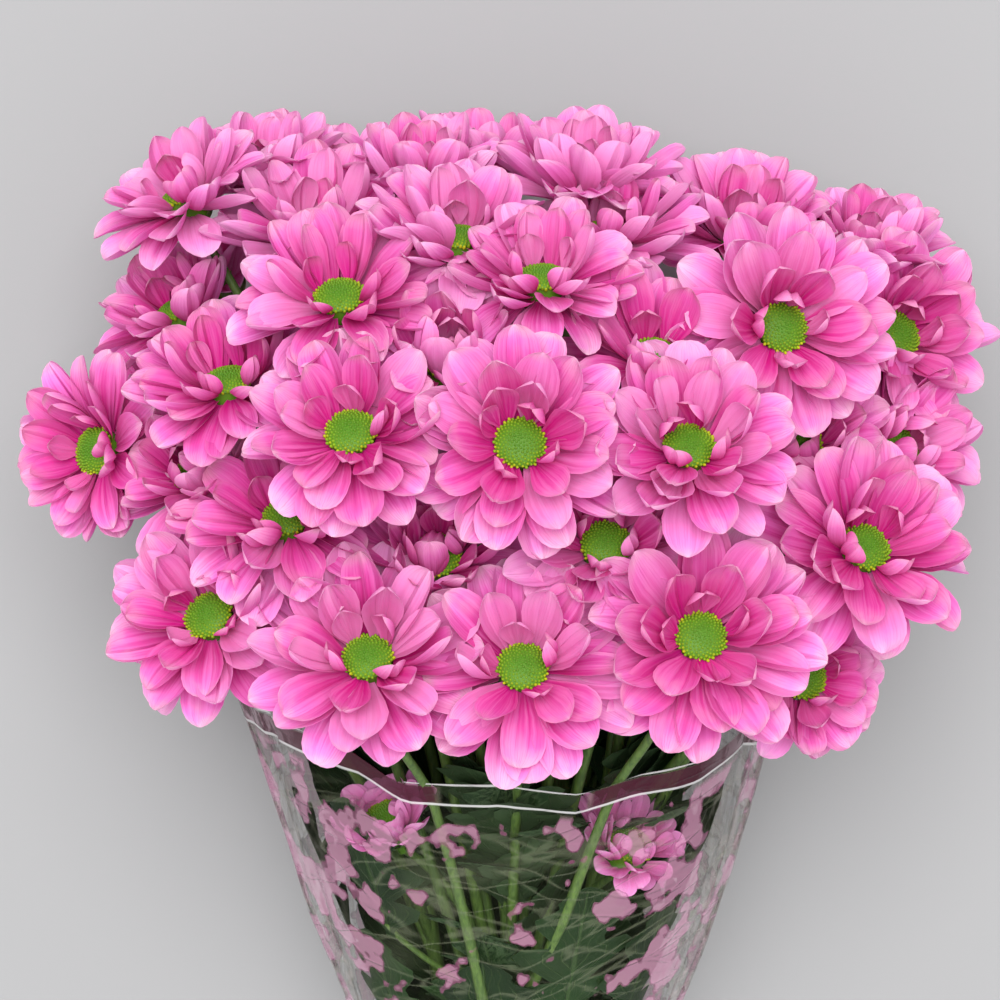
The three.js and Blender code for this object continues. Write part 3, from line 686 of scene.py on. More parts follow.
def petals_of(bloom):
    placed = []
    bloom_tint = tint_of(bloom)
    size = bloom.reach / USUAL_REACH
    for tier, (count, inner, tilt, reach, width, height, poses) in enumerate(PETAL_ROWS_OF_BLOOM):
        phase = chance.uniform(0, 0.25) + tier / 2
        for i in range(count):
            turn = 2 * math.pi * (i + phase + chance.uniform(-0.12, 0.12)) / count
            rise, full = between_rows(bloom, turn, inner)
            if rise is None:
                continue
            if bloom.name in CLOSED:
                rise += CLOSED_RISE * tier / LAST_ROW
            # petals on the upper side of a bloom stand up more and are longer than those that hang
            facing = bloom.outward(turn).dot(bloom.upright)
            rise += math.radians(tilt + chance.uniform(-8, 8) - 3 * (1 - facing))
            length = full * reach * chance.uniform(0.92, 1.05) * (1.03 + 0.09 * facing)
            length *= SHORTER.get(bloom.name, 1)
            pose = poses[chance.integers(len(poses))]
            if length < SHORTEST_PETAL:
                continue
            roll = OVERLAP_ROLL * (1 if tier % 2 else -1) + chance.normal(0, 0.13)
            broad = width * size * chance.uniform(0.9, 1.05)
            place = clear_of_floor(bloom, pose, turn, rise, length, broad, roll, height * MM)
            tint = min(max(chance.uniform(0.1, 0.9) + bloom_tint, 0), 1)
            # this value paints shade: the further in its row stands, the deeper the magenta laid over the
            # petal
            placed.append((pose, place, {"tint": tint, "heart": tier / LAST_ROW}))
    return placed


def triangles_of(pieces):
    return sum(len(face.vertices) - 2 for piece in pieces for face in piece.data.polygons)


rosettes = []
for bloom in blooms:
    piece = copied("petals_of_" + bloom.name, petals_of(bloom), petal_material)
    hand_over(piece, "petals_" + bloom.name)
    rosettes.append(piece)
print("petal triangles:", triangles_of(rosettes))

# %% [markdown]
# ## Discs and what holds them
#
# The disc in the middle of a bloom is a dome of small tubular florets. A bump could hint at them,
# but close to, its edge would be smooth. So one floret bud is modelled, an icosphere with its top
# drawn in, and copied in a sunflower spiral: each next one is turned by the golden angle and set a
# little further out. Under the petals sits a green cup with small pointed scales, which can be
# seen on the blooms that face away.

# %% Model a bud, a scale and the cup
def turn_up(profile, sides):
    """Extrudes a circle ring by ring up a profile of half sizes and heights."""
    piece = start(bpy.ops.mesh.primitive_circle_add, vertices=sides, radius=1)
    across, deep, level = profile[0]
    pick(lambda p: True)
    bpy.ops.transform.resize(value=(across, deep, 1), center_override=(0, 0, 0))
    bpy.ops.transform.translate(value=(0, 0, level))
    for wider, deeper, height in profile[1:]:
        bpy.ops.mesh.extrude_region_move(TRANSFORM_OT_translate={"value": (0, 0, height - level)})
        bpy.ops.transform.resize(
            value=(wider / across, deeper / deep, 1), center_override=(0, 0, height))
        across, deep, level = wider, deeper, height
    return piece


def close_ends(low):
    """Closes the ring that is selected, and the one at a height, each by a face."""
    bpy.ops.mesh.edge_face_add()
    pick(lambda p: p.z < low + NEAR)
    bpy.ops.mesh.edge_face_add()
    bpy.ops.mesh.select_all(action="SELECT")
    bpy.ops.mesh.normals_make_consistent(inside=False)


BUD_WAIST = 0.3
BUD_TOP = 0.8
BUD_FOOT = 0.6
piece = start(bpy.ops.mesh.primitive_ico_sphere_add, subdivisions=1, radius=1)
pick(lambda p: p.z > BUD_WAIST)
bpy.ops.transform.resize(value=(BUD_TOP, BUD_TOP, 1), center_override=(0, 0, 0))
pick(lambda p: p.z < -BUD_WAIST)
bpy.ops.transform.translate(value=(0, 0, -BUD_FOOT))
BUD = Shape(piece)

CUP_SIDES = 20
CUP_PROFILE = [
    (1.5, -15.5), (1.75, -12.5), (2.3, -9.4), (4.2, -7.3), (6.5, -5.6), (7.2, -4), (7.3, 0),
    (7.2, 3), (8, 3.4), (7.6, 4), (6.2, 4.9), (4.2, 5.5), (2, 5.8), (0.4, 5.9),
]
turn_up([(r * MM, r * MM, h * MM) for r, h in CUP_PROFILE], CUP_SIDES)
close_ends(CUP_PROFILE[0][1] * MM)
CUP = Shape(bpy.context.object)

SCALE_ROWS = [0, 0.3, 0.6, 0.85, 1.0]
SCALE_OUTLINE = [0.8, 1.0, 0.85, 0.5, 0.12]
SCALE_KEEL = {0: -0.15}
SCALE_LENGTH = 7 * MM
SCALE_WIDTH = 3 * MM
SCALE_THICKNESS = 0.35 * MM
SCALE_BEND = 35
piece = make_strip(2, SCALE_KEEL, SCALE_ROWS, SCALE_OUTLINE)
bpy.ops.transform.resize(value=(SCALE_WIDTH, SCALE_LENGTH, SCALE_WIDTH), center_override=(0, 0, 0))
bend_rows(SCALE_ROWS, SCALE_LENGTH, SCALE_BEND, 0)
finish_with(piece, "SOLIDIFY", thickness=SCALE_THICKNESS, offset=0)
SCALE = Shape(piece)
print("faces of a bud, the cup and a scale:", len(BUD.faces), len(CUP.faces), len(SCALE.faces))

# %% [markdown]
# ## Greens
#
# A fresh disc is green with yellow florets opening along its rim. Stems, stalks and scales are a
# duller green, streaked lengthwise. The disc could be painted floret by floret, but each bud
# already holds how near the rim it is, so one material colours them all.

# %% Materials of the disc and of everything green
def disc_finish():
    finish = Finish("disc")
    rim = finish.held("rim")
    tint = finish.held("tint")
    body = finish.painted(
        (84, 132, 28),
        (rim.rise(0.15, 0.95), (122, 158, 16)),
        (tint * 0.5, (66, 112, 18)),
        (rim.rise(0.72, 1.0) * tint.rise(0.4, 0.8), (170, 176, 20)))
    return finish.done(finish.gloss(body, 0.55, 0.3))


def stem_finish():
    finish = Finish("stem")
    streaks = finish.noise(finish.place((900, 60, 900)), 1.0, 3.0)
    patches = finish.noise(finish.place(), 45.0, 2.0)
    body = finish.painted(
        (62, 88, 32),
        (streaks.rise(0.3, 0.7), (94, 122, 50)),
        (patches.rise(0.45, 0.75) * 0.5, (68, 94, 38)),
        (finish.held("tint") * 0.4, (58, 86, 40)))
    return finish.done(finish.gloss(body, 0.55, 0.5, streaks, 0.15 * MM))


disc_material = disc_finish()
stem_material = stem_finish()
print("materials:", disc_material.name, stem_material.name)

# %% [markdown]
# ## Which blooms a stem carries
#
# Six stems stand in the sleeve, one in the middle and five round it, and each ends in a spray. A
# list could say which bloom is whose, but a rule is shorter: a high bloom near the middle belongs
# to the middle stem, and any other to the outer stem on its side.

# %% Share the blooms out
HEAD_MIDDLE = 5 * MM
HEAD_ACROSS = 150 * MM
HEAD_DEEP = 97 * MM
CROWN_LIMIT = 0.5
CROWN_FROM = 62 * MM
OUTER_STEMS = 5
STEM_NAMES = ["front", "right_front", "right_back", "left_back", "left_front", "crown"]


def stem_of(bloom):
    """The stem that carries a bloom: the crown's in the middle, or the nearest outer one."""
    across = bloom.centre.x / HEAD_ACROSS
    deep = (bloom.centre.y - HEAD_MIDDLE) / HEAD_DEEP
    if math.hypot(across, deep) < CROWN_LIMIT and bloom.centre.z > CROWN_FROM:
        return OUTER_STEMS
    return round((math.atan2(deep, across) + math.pi / 2) * OUTER_STEMS / (2 * math.pi)) % OUTER_STEMS


blooms_of_stem = [[] for _ in STEM_NAMES]
for bloom in blooms:
    blooms_of_stem[stem_of(bloom)].append(bloom)
print("blooms on each stem:", [len(carried) for carried in blooms_of_stem])

# %% Set the discs
BUDS_OF_DISC = 190
GOLDEN_ANGLE = math.radians(137.508)
DISC_REACH = 8.6 * MM
DISC_EDGE = 3.4 * MM
DISC_RISE = 2.6 * MM
SMALLEST_DISC = 0.86
LARGEST_BLOOM = 1.15
SCALES_OF_CUP = 14
SCALE_FOOT = Matrix.Translation((0, 3.2 * MM, -8.2 * MM)) @ Matrix.Rotation(math.radians(30), 4, "X")


def on_bloom(bloom, turn=0.0):
    """The matrix of a bloom's own axes, turned about its axis."""
    axes = Matrix((bloom.rear, bloom.side, bloom.axis)).transposed().to_4x4()
    return Matrix.Translation(bloom.centre) @ axes @ Matrix.Rotation(turn, 4, "Z")


def disc_of(bloom):
    growth = min(bloom.reach / USUAL_REACH, LARGEST_BLOOM)
    size = SMALLEST_DISC + (1 - SMALLEST_DISC) * growth
    placed = [(CUP, moved(CUP.points * (size, size, 1), on_bloom(bloom)), {"rim": 0.3, "tint": 0.8})]
    for i in range(BUDS_OF_DISC):
        share = math.sqrt((i + 0.5) / BUDS_OF_DISC)
        turn = i * GOLDEN_ANGLE
        out = DISC_REACH * size * share
        height = DISC_EDGE + DISC_RISE * (1 - share ** 2.4) + chance.uniform(-0.15, 0.15) * MM
        width = (0.58 + 0.1 * share ** 2) * MM * chance.uniform(0.85, 1.12)
        bead = Matrix.Translation((out * math.cos(turn), out * math.sin(turn), height))
        lean = Matrix.Rotation(turn, 4, "Z") @ Matrix.Rotation(0.7 * share ** 3, 4, "Y")
        points = moved(BUD.points * width, on_bloom(bloom) @ bead @ lean)
        placed.append((BUD, points, {"rim": share, "tint": chance.uniform(0, 1)}))
    return placed


def scales_of(bloom):
    placed = []
    for i in range(SCALES_OF_CUP):
        turn = 2 * math.pi * (i + chance.uniform(-0.2, 0.2)) / SCALES_OF_CUP
        points = moved(SCALE.points, on_bloom(bloom, turn) @ SCALE_FOOT)
        placed.append((SCALE, points, {"tint": chance.uniform(0, 1)}))
    return placed


def add_green(part, name, placed, finish, sharp=50):
    """Adds one green piece of a stem."""
    hand_over(copied(part + "_of_" + name, placed, finish, sharp), "spray_" + name)


for name, carried in zip(STEM_NAMES, blooms_of_stem):
    add_green("discs", name, [copy for bloom in carried for copy in disc_of(bloom)], disc_material)
    add_green("scales", name, [copy for bloom in carried for copy in scales_of(bloom)], stem_material)
print("buds:", BUDS_OF_DISC * len(blooms), "scales:", SCALES_OF_CUP * len(blooms))

# %% [markdown]
# ## Stems and flower stalks
#
# A stem is ribbed, and its flower stalks leave it one above the other. A curve with a round bevel
# would give a smooth tube. So one straight length is made from a circle that is extruded ring by
# ring, with every other column of points drawn in for the ribs, and each copy of it is laid along
# its own path.

# %% Model a length of stem
STEM_SIDES = 12
STEM_RINGS = 22
STEM_GROOVES = 0.86
PATH_STEP = 0.02
turn_up([(1, 1, i / STEM_RINGS) for i in range(STEM_RINGS + 1)], STEM_SIDES)
close_ends(0)
pick(lambda p: round(math.atan2(p.y, p.x) * STEM_SIDES / (2 * math.pi)) % 2)
bpy.ops.transform.resize(value=(STEM_GROOVES, STEM_GROOVES, 1), center_override=(0, 0, 0))
LENGTH_OF_STEM = Shape(bpy.context.object)


def laid_along(path, radii):
    """A length of stem along a path, with these radii in mm at its start, middle and end."""
    points = []
    for x, y, share in LENGTH_OF_STEM.points.tolist():
        ahead = (path(share + PATH_STEP) - path(share - PATH_STEP)).normalized()
        first = Vector((0, 1, 0)).cross(ahead).normalized()
        second = ahead.cross(first)
        radius = float(np.interp(share, (0, 0.5, 1), radii)) * MM
        points.append((path(share) + (first * x + second * y) * radius)[:])
    return np.array(points)


def curve_path(first, bend, last):
    """A path from one point to another, drawn towards a third."""
    return lambda t: (1 - t) ** 2 * first + 2 * t * (1 - t) * bend + t * t * last


print("faces of a length of stem:", len(LENGTH_OF_STEM.faces))

# %% [markdown]
# ## The room in the sleeve
#
# The stems run up side by side, spread out below the rim, and send a stalk to each bloom. None may
# pierce the film. Each path could be bent clear by hand, but the sleeve has a formula, so whatever
# would reach through the film is drawn in to it by a rule, and let go again above the rim.

# %% The sleeve's size, and the stems in it
BUNDLE_RADIUS = 6.6 * MM
SPREAD_RADIUS = 36 * MM
SPREAD_POWER = 2.4
SLEEVE_TAPER = 180 * MM
SLEEVE_ROUNDING = 0.3
NECK_ACROSS = 33 * MM
NECK_DEEP = 25 * MM
FILM_CLEARANCE = 5 * MM
CLEAR_OF_RIM = 25 * MM
CUT_END = -460 * MM
STEM_TOP = -44 * MM


def sleeve_size(z):
    """Half sizes of the sleeve at a height: nearly straight above, narrow below."""
    taper = 1 + z / SLEEVE_TAPER
    share = (taper + math.hypot(taper, SLEEVE_ROUNDING)) / (1 + math.hypot(1, SLEEVE_ROUNDING))
    return (NECK_ACROSS + (RIM_ACROSS - NECK_ACROSS) * share, NECK_DEEP + (RIM_DEEP - NECK_DEEP) * share)


def stem_turn(index):
    return -math.pi / 2 + 2 * math.pi * index / OUTER_STEMS


def stem_centre(index, z):
    """Where a stem runs at a height: straight up in the middle, or spreading out round it."""
    if index == OUTER_STEMS:
        return Vector((0, 0, z))
    rise = max((z - CUT_END) / (STEM_TOP - CUT_END), 0)
    spread = BUNDLE_RADIUS + (SPREAD_RADIUS - BUNDLE_RADIUS) * rise ** SPREAD_POWER
    return Vector((spread * math.cos(stem_turn(index)), spread * math.sin(stem_turn(index)), z))


def inside_sleeve(path):
    """The same path, drawn in where it would reach through the film."""
    def drawn_in(t):
        place = path(t)
        wide, deep = (size - FILM_CLEARANCE for size in sleeve_size(place.z))
        beyond = max(math.hypot(place.x / wide, place.y / deep), 1)
        hold = min(max(1 - place.z / CLEAR_OF_RIM, 0), 1)
        inward = 1 + (1 / beyond - 1) * hold
        return Vector((place.x * inward, place.y * inward, place.z))
    return drawn_in


print("half sizes in mm at the rim and the foot:",
      [[round(size / MM) for size in sleeve_size(z)] for z in (0, -330 * MM)])

# %% Stems and their stalks
STEM_RADII = (3.3, 3.2, 2.9)
STALK_RADII = (2.3, 1.9, 1.5)
STALK_END = 14 * MM
FIRST_JOINT = 5 * MM
JOINT_STEP = 8 * MM
SHORTEST_STALK = 60 * MM
JOINTS_BEHIND_FILM = {"front_left": -150 * MM, "front_right": -120 * MM}
BEND_BEHIND_FILM = -50 * MM
ROUND_STEM = 80


def stalk_path(bloom, stem, order):
    """A stalk leaves its stem the lower, the further out its bloom is."""
    top = bloom.centre - STALK_END * bloom.axis
    if bloom.name in JOINTS_BEHIND_FILM:
        joint = JOINTS_BEHIND_FILM[bloom.name]
        bend = Vector((top.x * 0.3, top.y * 0.8, BEND_BEHIND_FILM))
    else:
        joint = min(STEM_TOP - FIRST_JOINT - JOINT_STEP * order, top.z - SHORTEST_STALK)
        bend = Vector((top.x * 0.6, top.y * 0.6, joint + 0.75 * (top.z - joint)))
    return inside_sleeve(curve_path(stem_centre(stem, joint), bend, top))


for index, name in enumerate(STEM_NAMES):
    top = stem_centre(index, STEM_TOP)
    nearest_first = sorted(
        blooms_of_stem[index], key=lambda b: math.hypot(b.centre.x - top.x, b.centre.y - top.y))
    paths = [(lambda t: stem_centre(index, CUT_END + t * (STEM_TOP - CUT_END)), STEM_RADII)]
    for order, bloom in enumerate(nearest_first):
        bloom.stalk = stalk_path(bloom, index, order)
        paths.append((bloom.stalk, STALK_RADII))
    placed = [
        (LENGTH_OF_STEM, laid_along(path, radii), {"tint": chance.uniform(0, 1)})
        for path, radii in paths]
    add_green("stems", name, placed, stem_material, ROUND_STEM)
print("lengths of stem:", len(blooms) + len(STEM_NAMES))

# %% [markdown]
# ## Leaves
#
# A chrysanthemum leaf has rounded lobes that point forward. Its outline could be drawn and filled,
# but a flat fill has no faces to bend. So it is made like a petal: a grid whose rows are widened
# and narrowed, with its outer columns then pushed towards the tip.

# %% Model a leaf
# half widths at places from foot to tip
LEAF_OUTLINE = {
    0: 0.05, 0.05: 0.05, 0.1: 0.12, 0.15: 0.34, 0.2: 0.4, 0.25: 0.32, 0.3: 0.16, 0.35: 0.3, 0.4: 0.46,
    0.45: 0.52, 0.5: 0.44, 0.55: 0.24, 0.6: 0.22, 0.66: 0.36, 0.72: 0.38, 0.78: 0.28, 0.84: 0.2,
    0.9: 0.22, 0.95: 0.15, 1: 0.02,
}
LEAF_COLUMNS = 8
LEAF_WAVES = {0: -0.03, 2: 0.05, 3: -0.01, 4: 0.06}
LEAF_WAVES_KEPT = 0.6
LOBE_PUSHES = {0.16: 0.015, 0.26: 0.025, 0.36: 0.03}
LEAF_TIP = 0.9
LEAF_THICKNESS = 0.009
LEAF_SIZE = (46 * MM, 62 * MM)
widths = [width * 2 for width in LEAF_OUTLINE.values()]
piece = make_strip(LEAF_COLUMNS, LEAF_WAVES, list(LEAF_OUTLINE), widths, LEAF_WAVES_KEPT)
for reach, push in LOBE_PUSHES.items():
    pick(lambda p: abs(p.x) > reach and p.y < LEAF_TIP)
    bpy.ops.transform.translate(value=(0, push, 0))
finish_with(piece, "SOLIDIFY", thickness=LEAF_THICKNESS, offset=0)
LEAF = Shape(piece)
print("faces of a leaf:", len(LEAF.faces))

# %% [markdown]
# ## What a leaf is made of
#
# A leaf is deep green, and its ground is painted darker still as the shade that falls inside the sleeve
# and under the blooms. It is paler along its ribs and underneath, and patchy. The ribs could be modelled
# as ridges, but they are fine, so they are lines in the pattern: one along the middle, and a wave along
# the leaf whose crests slant forward from it as side ribs. They also drive a bump.

# %% Leaf material
LEAF_VEINS = 5.5
VEIN_SLANT = 1.1


def leaf_finish():
    finish = Finish("leaf")
    across, along = finish.pattern_place()
    tint = finish.held("tint")
    middle = abs(across - 0.5)
    rib = 1 - middle.rise(0.012, 0.035)
    branch = ((along - middle * VEIN_SLANT) * 2 * math.pi * LEAF_VEINS + 1.2).sine()
    veins = rib.most(branch.rise(0.9, 0.995) * (1 - middle.rise(0.3, 0.48)))
    patches = finish.noise(finish.place(), 60.0, 3.0)
    # painted shade: the near-black ground and dark patches are the leaf's deep green, darkened as the
    # shade inside the bunch
    body = finish.painted(
        (8, 24, 12),
        (patches.rise(0.3, 0.7), (24, 48, 24)),
        (tint * 0.5, (42, 72, 30)),
        (veins * 0.4, (76, 100, 58)),
        (finish.held("under") * 0.4, (76, 98, 66)))
    surface = finish.gloss(body, 0.5, 0.2, 1 - veins, 0.4 * MM)
    through = finish.node("ShaderNodeBsdfTranslucent", None, {"Color": body}).outputs[0]
    return finish.done(finish.between(0.15, surface, through))


leaf_material = leaf_finish()
print("material:", leaf_material.name)

# %% [markdown]
# ## Where the leaves are
#
# In a wrapped bunch some leaves lie flat against the film and show whole, a few stand out above
# the rim, and the rest fill the space between the stems. The ones that show are placed one by one.
# The filling could be too, but nobody would see the difference, so it is left to chance.

# %% Places on the film and round the stems
# on which stem, how many degrees round from it, and at what height in mm the blade starts
SLEEVE_LEAVES = [
    (0, -42, -72), (0, -8, -136), (0, 22, -104), (0, 2, -196), (1, -16, -122), (1, 20, -92),
    (1, 4, -186), (2, -20, -84), (2, 16, -146), (3, -20, -96), (3, 16, -160), (4, -16, -92),
    (4, 22, -132), (4, -4, -196),
]
LEAF_STALK_RADII = (1.5, 1.2, 1.0)
LEAF_INSET = 4.5 * MM
FOOT_INSET = 3 * MM
FILM_LEAF_LIFT = 12 * MM
STALK_DROP = 34 * MM
STALK_BEND_DROP = 11 * MM
STALK_BEND_IN = 0.8
FREE_LEAF_LIFT = 0.6


def on_film(turn, across, z, inset):
    """A point so far inside the film, at a turn and so far along the film from there."""
    wide, deep = sleeve_size(z)
    angle = turn + across / ((wide + deep) / 2)
    return Vector(((wide - inset) * math.cos(angle), (deep - inset) * math.sin(angle), z))


def film_leaf(stem, offset, level):
    """A leaf flat against the inside of the film, and the stalk that holds it."""
    turn = stem_turn(stem) + math.radians(offset)
    z = level * MM

    def place(x, y, lift):
        inset = LEAF_INSET + FOOT_INSET * (1 - y) - FILM_LEAF_LIFT * lift
        return on_film(turn, x * LEAF_SIZE[0], z + y * LEAF_SIZE[1], inset)

    points = np.array([place(*p)[:] for p in LEAF.points])
    end = place(0, 0.1, 0)
    bend = Vector((end.x * STALK_BEND_IN, end.y * STALK_BEND_IN, z - STALK_BEND_DROP))
    path = curve_path(stem_centre(stem, z - STALK_DROP), bend, end)
    return points, laid_along(path, LEAF_STALK_RADII)


def free_leaf(base, outward, rise, size, bow):
    """A leaf that stands out from a stem and arches over."""
    along = (outward * math.cos(rise) + Vector((0, 0, 1)) * math.sin(rise)).normalized()
    across = Vector((0, 0, 1)).cross(outward).normalized()
    upper = across.cross(along) * -1
    x, y, lift = LEAF.points.T
    arch = 4 * bow * y * (1 - y) + lift * FREE_LEAF_LIFT * LEAF_SIZE[0] * size
    return (np.array(base) + np.outer(x * LEAF_SIZE[0] * size, across)
            + np.outer(y * LEAF_SIZE[1] * size, along) + np.outer(arch, upper))


def kept_inside(points, margin):
    """Draws in whatever would reach through the film."""
    sizes = np.array([sleeve_size(z) for z in points[:, 2]]) - margin
    share = np.hypot(points[:, 0] / sizes[:, 0], points[:, 1] / sizes[:, 1])
    inside = points.copy()
    inside[:, :2] /= np.maximum(share, 1)[:, None]
    return inside


def filling_leaf(base, turn, out, rises, sizes, bows, margins):
    """A leaf by chance, so far out from its stem, and drawn in where it would meet the film."""
    outward = Vector((math.cos(turn), math.sin(turn), 0))
    blade = free_leaf(
        base + outward * out, outward,
        chance.uniform(*rises), chance.uniform(*sizes), chance.uniform(*bows) * MM)
    return kept_inside(blade, chance.uniform(*margins) * MM)


print("leaves flat on the film:", len(SLEEVE_LEAVES))

# %% Set the leaves
# at which blooms a leaf stands by the stalk, and how steeply in degrees
NECK_LEAVES = {
    "low_left": 75, "low_side_left": 20, "low_side_right": 20, "low_back_left": 20,
    "low_back_right": 20,
}
NECK_LEAF_AT = 0.6
NECK_LEAF_SIZE = 0.72
NECK_LEAF_BOW = 5 * MM
FILL_OF_STEM = 18
FILL_FROM = -215 * MM
FILL_OVER = 185 * MM
RIM_FILL_OF_STEM = 7
RIM_FILL_BETWEEN = (-62, -34)
RIM_FILL_TURN = 2 * math.pi / 30


def shown_leaves(index):
    """The leaves of a stem that show, and the stalks of those on the film."""
    blades, stalks = [], []
    for stem, offset, level in SLEEVE_LEAVES:
        if stem == index:
            blade, stalk = film_leaf(stem, offset, level)
            blades.append(blade)
            stalks.append((LENGTH_OF_STEM, stalk, {"tint": 0.5}))
    for bloom in blooms_of_stem[index]:
        if bloom.name in NECK_LEAVES:
            base = bloom.stalk(NECK_LEAF_AT)
            outward = Vector((base.x, base.y, 0)).normalized()
            rise = math.radians(NECK_LEAVES[bloom.name])
            blades.append(free_leaf(base, outward, rise, NECK_LEAF_SIZE, NECK_LEAF_BOW))
    return blades, stalks


def filling_of(index):
    """The leaves that fill the space round a stem, along it and under the rim."""
    blades = []
    for i in range(FILL_OF_STEM):
        level = FILL_FROM + FILL_OVER * (i + chance.uniform(0.1, 0.9)) / FILL_OF_STEM
        base = stem_centre(index, min(level, STEM_TOP))
        base.z = level
        if index == OUTER_STEMS:
            turn = chance.uniform(0, 2 * math.pi)
        else:
            turn = stem_turn(index) + chance.normal(0, 0.9)
        blades.append(filling_leaf(base, turn, 2 * MM, (0.3, 1.2), (0.7, 1.0), (-2, 8), (6, 14)))
    for i in range(RIM_FILL_OF_STEM if index < OUTER_STEMS else 0):
        base = stem_centre(index, chance.uniform(*RIM_FILL_BETWEEN) * MM)
        turn = stem_turn(index) + RIM_FILL_TURN * (i - RIM_FILL_OF_STEM // 2) + chance.normal(0, 0.1)
        blades.append(filling_leaf(base, turn, 8 * MM, (0.9, 1.2), (0.75, 0.95), (2, 9), (5, 16)))
    return blades


leaves = 0
for index, name in enumerate(STEM_NAMES):
    blades, stalks = shown_leaves(index)
    blades += filling_of(index)
    leaves += len(blades)
    placed = [(LEAF, blade, {"tint": chance.uniform(0, 1)}) for blade in blades]
    add_green("leaves", name, placed, leaf_material)
    if stalks:
        add_green("leaf_stalks", name, stalks, stem_material, ROUND_STEM)
print("leaves:", leaves)

# %% [markdown]
# ## The sleeve
#
# The sleeve is one tube of thin film that narrows to the stems. Cloth could be draped over them,
# but film is stiff and welded to its shape, so it is modelled directly. A circle is extruded ring
# by ring along the taper, and some columns are drawn in as lengthwise folds. The wave of the rim,
# the bulge of the leaves and a slight lean are formulas of height and turn, so they move the points
# without an operator. A displace modifier with soft clouds crumples the film slightly.

# %% Model the sleeve
FILM_SIDES = 180
FILM_RINGS = 60
FILM_BOTTOM = -330 * MM
FILM_THICKNESS = 0.3 * MM
FILM_INSET = 0.4 * MM
CRUMPLE_SCALE = 0.05
CRUMPLE_DEPTH = 2.4 * MM

# turns in radians from the sleeve's right side, and the factor by which the film is drawn in or out
FOLDS = [(3.02, 0.975), (2.86, 1.015), (2.66, 0.985), (0.1, 0.975), (0.3, 1.015), (0.46, 0.985)]
FOLD_REACH = 0.03

# how far the rim is lifted in mm, at turns in degrees, with the front at -90
RIM_LIFTS = [
    (-180, 15), (-168, 17), (-140, 16), (-128, 14), (-116, 5), (-92, 7), (-73, 2), (-58, 6.5),
    (-41, 6), (-27, 13), (-10, 4), (30, 8), (62, 3), (95, 9), (130, 5), (180, 15),
]
RIM_EASE = 70 * MM

# at heights in mm: how much wider than the solid the film is, and how far in mm it leans right
WIDENINGS = [(-330, 1), (-220, 1.02), (-150, 1.08), (-90, 1.11), (-40, 1.09), (0, 1.07)]
LEANS = [(-330, 0), (-180, 1), (-90, 2.5), (-40, 1), (0, -1)]

heights = [FILM_BOTTOM * (1 - i / FILM_RINGS) for i in range(FILM_RINGS + 1)]
piece = turn_up([(*(s - FILM_INSET for s in sleeve_size(z)), z) for z in heights], FILM_SIDES)
for turn, draw in FOLDS:
    for side in (1, -1):
        pick(lambda p: abs(math.atan2(p.y * side, p.x) - turn) < FOLD_REACH)
        bpy.ops.transform.resize(value=(draw, draw, 1), center_override=(0, 0, 0))
bpy.ops.mesh.select_all(action="SELECT")
bpy.ops.mesh.normals_make_consistent(inside=False)
bpy.ops.object.mode_set(mode="OBJECT")
for vert in piece.data.vertices:
    share = max(1 + vert.co.z / RIM_EASE, 0)
    x, y, level = vert.co
    turn = math.degrees(math.atan2(y, x))
    vert.co.z += share * float(np.interp(turn, *zip(*RIM_LIFTS))) * MM
    vert.co.x *= float(np.interp(level / MM, *zip(*WIDENINGS)))
    vert.co.x += float(np.interp(level / MM, *zip(*LEANS))) * MM
crumple = bpy.data.textures.new("crumple", "CLOUDS")
crumple.noise_scale = CRUMPLE_SCALE
finish_with(piece, "DISPLACE", texture=crumple, strength=CRUMPLE_DEPTH, mid_level=0.5)
finish_with(piece, "SOLIDIFY", thickness=FILM_THICKNESS, offset=-1)
film = Shape(piece)
print("faces of the film:", len(film.faces))

# %% [markdown]
# ## What the film is made of
#
# The film is clear, with a scatter of soft printed blotches and a dark printed band along its rim, which
# leaves a gap at the front. Two pale lines along the rim, one above the band and one below it, are
# painted highlights of the rim's edges. It shows mostly at its creases and its sides, where pale streaks
# are painted reflections of the light caught in the folds and at the sides seen edge on.
# Glass would be the natural shader, but a thin film hardly bends the light, so a transparent shader
# is mixed with a glossy one by a mask. The masks read how far a point is below the rim in mm, and
# how far to the side and to the front.

# %% Film material
# where the band and the two pale lines of painted highlight along the rim begin and end, in mm below the
# rim
BAND = (0.8, 1.4, 7.4, 8.0)
UPPER_HIGHLIGHT = (0.3, 0.8)
LOWER_HIGHLIGHT = (7.3, 7.6, 8.1, 8.6)


def crease(finish, side, slant, front, detail_along):
    """Fine ridges along the lines where a slanting noise passes its middle."""
    noise = finish.noise(finish.join(side, slant * detail_along, front), 1.0, 2.0)
    return 1 - abs(noise - 0.5) * 2


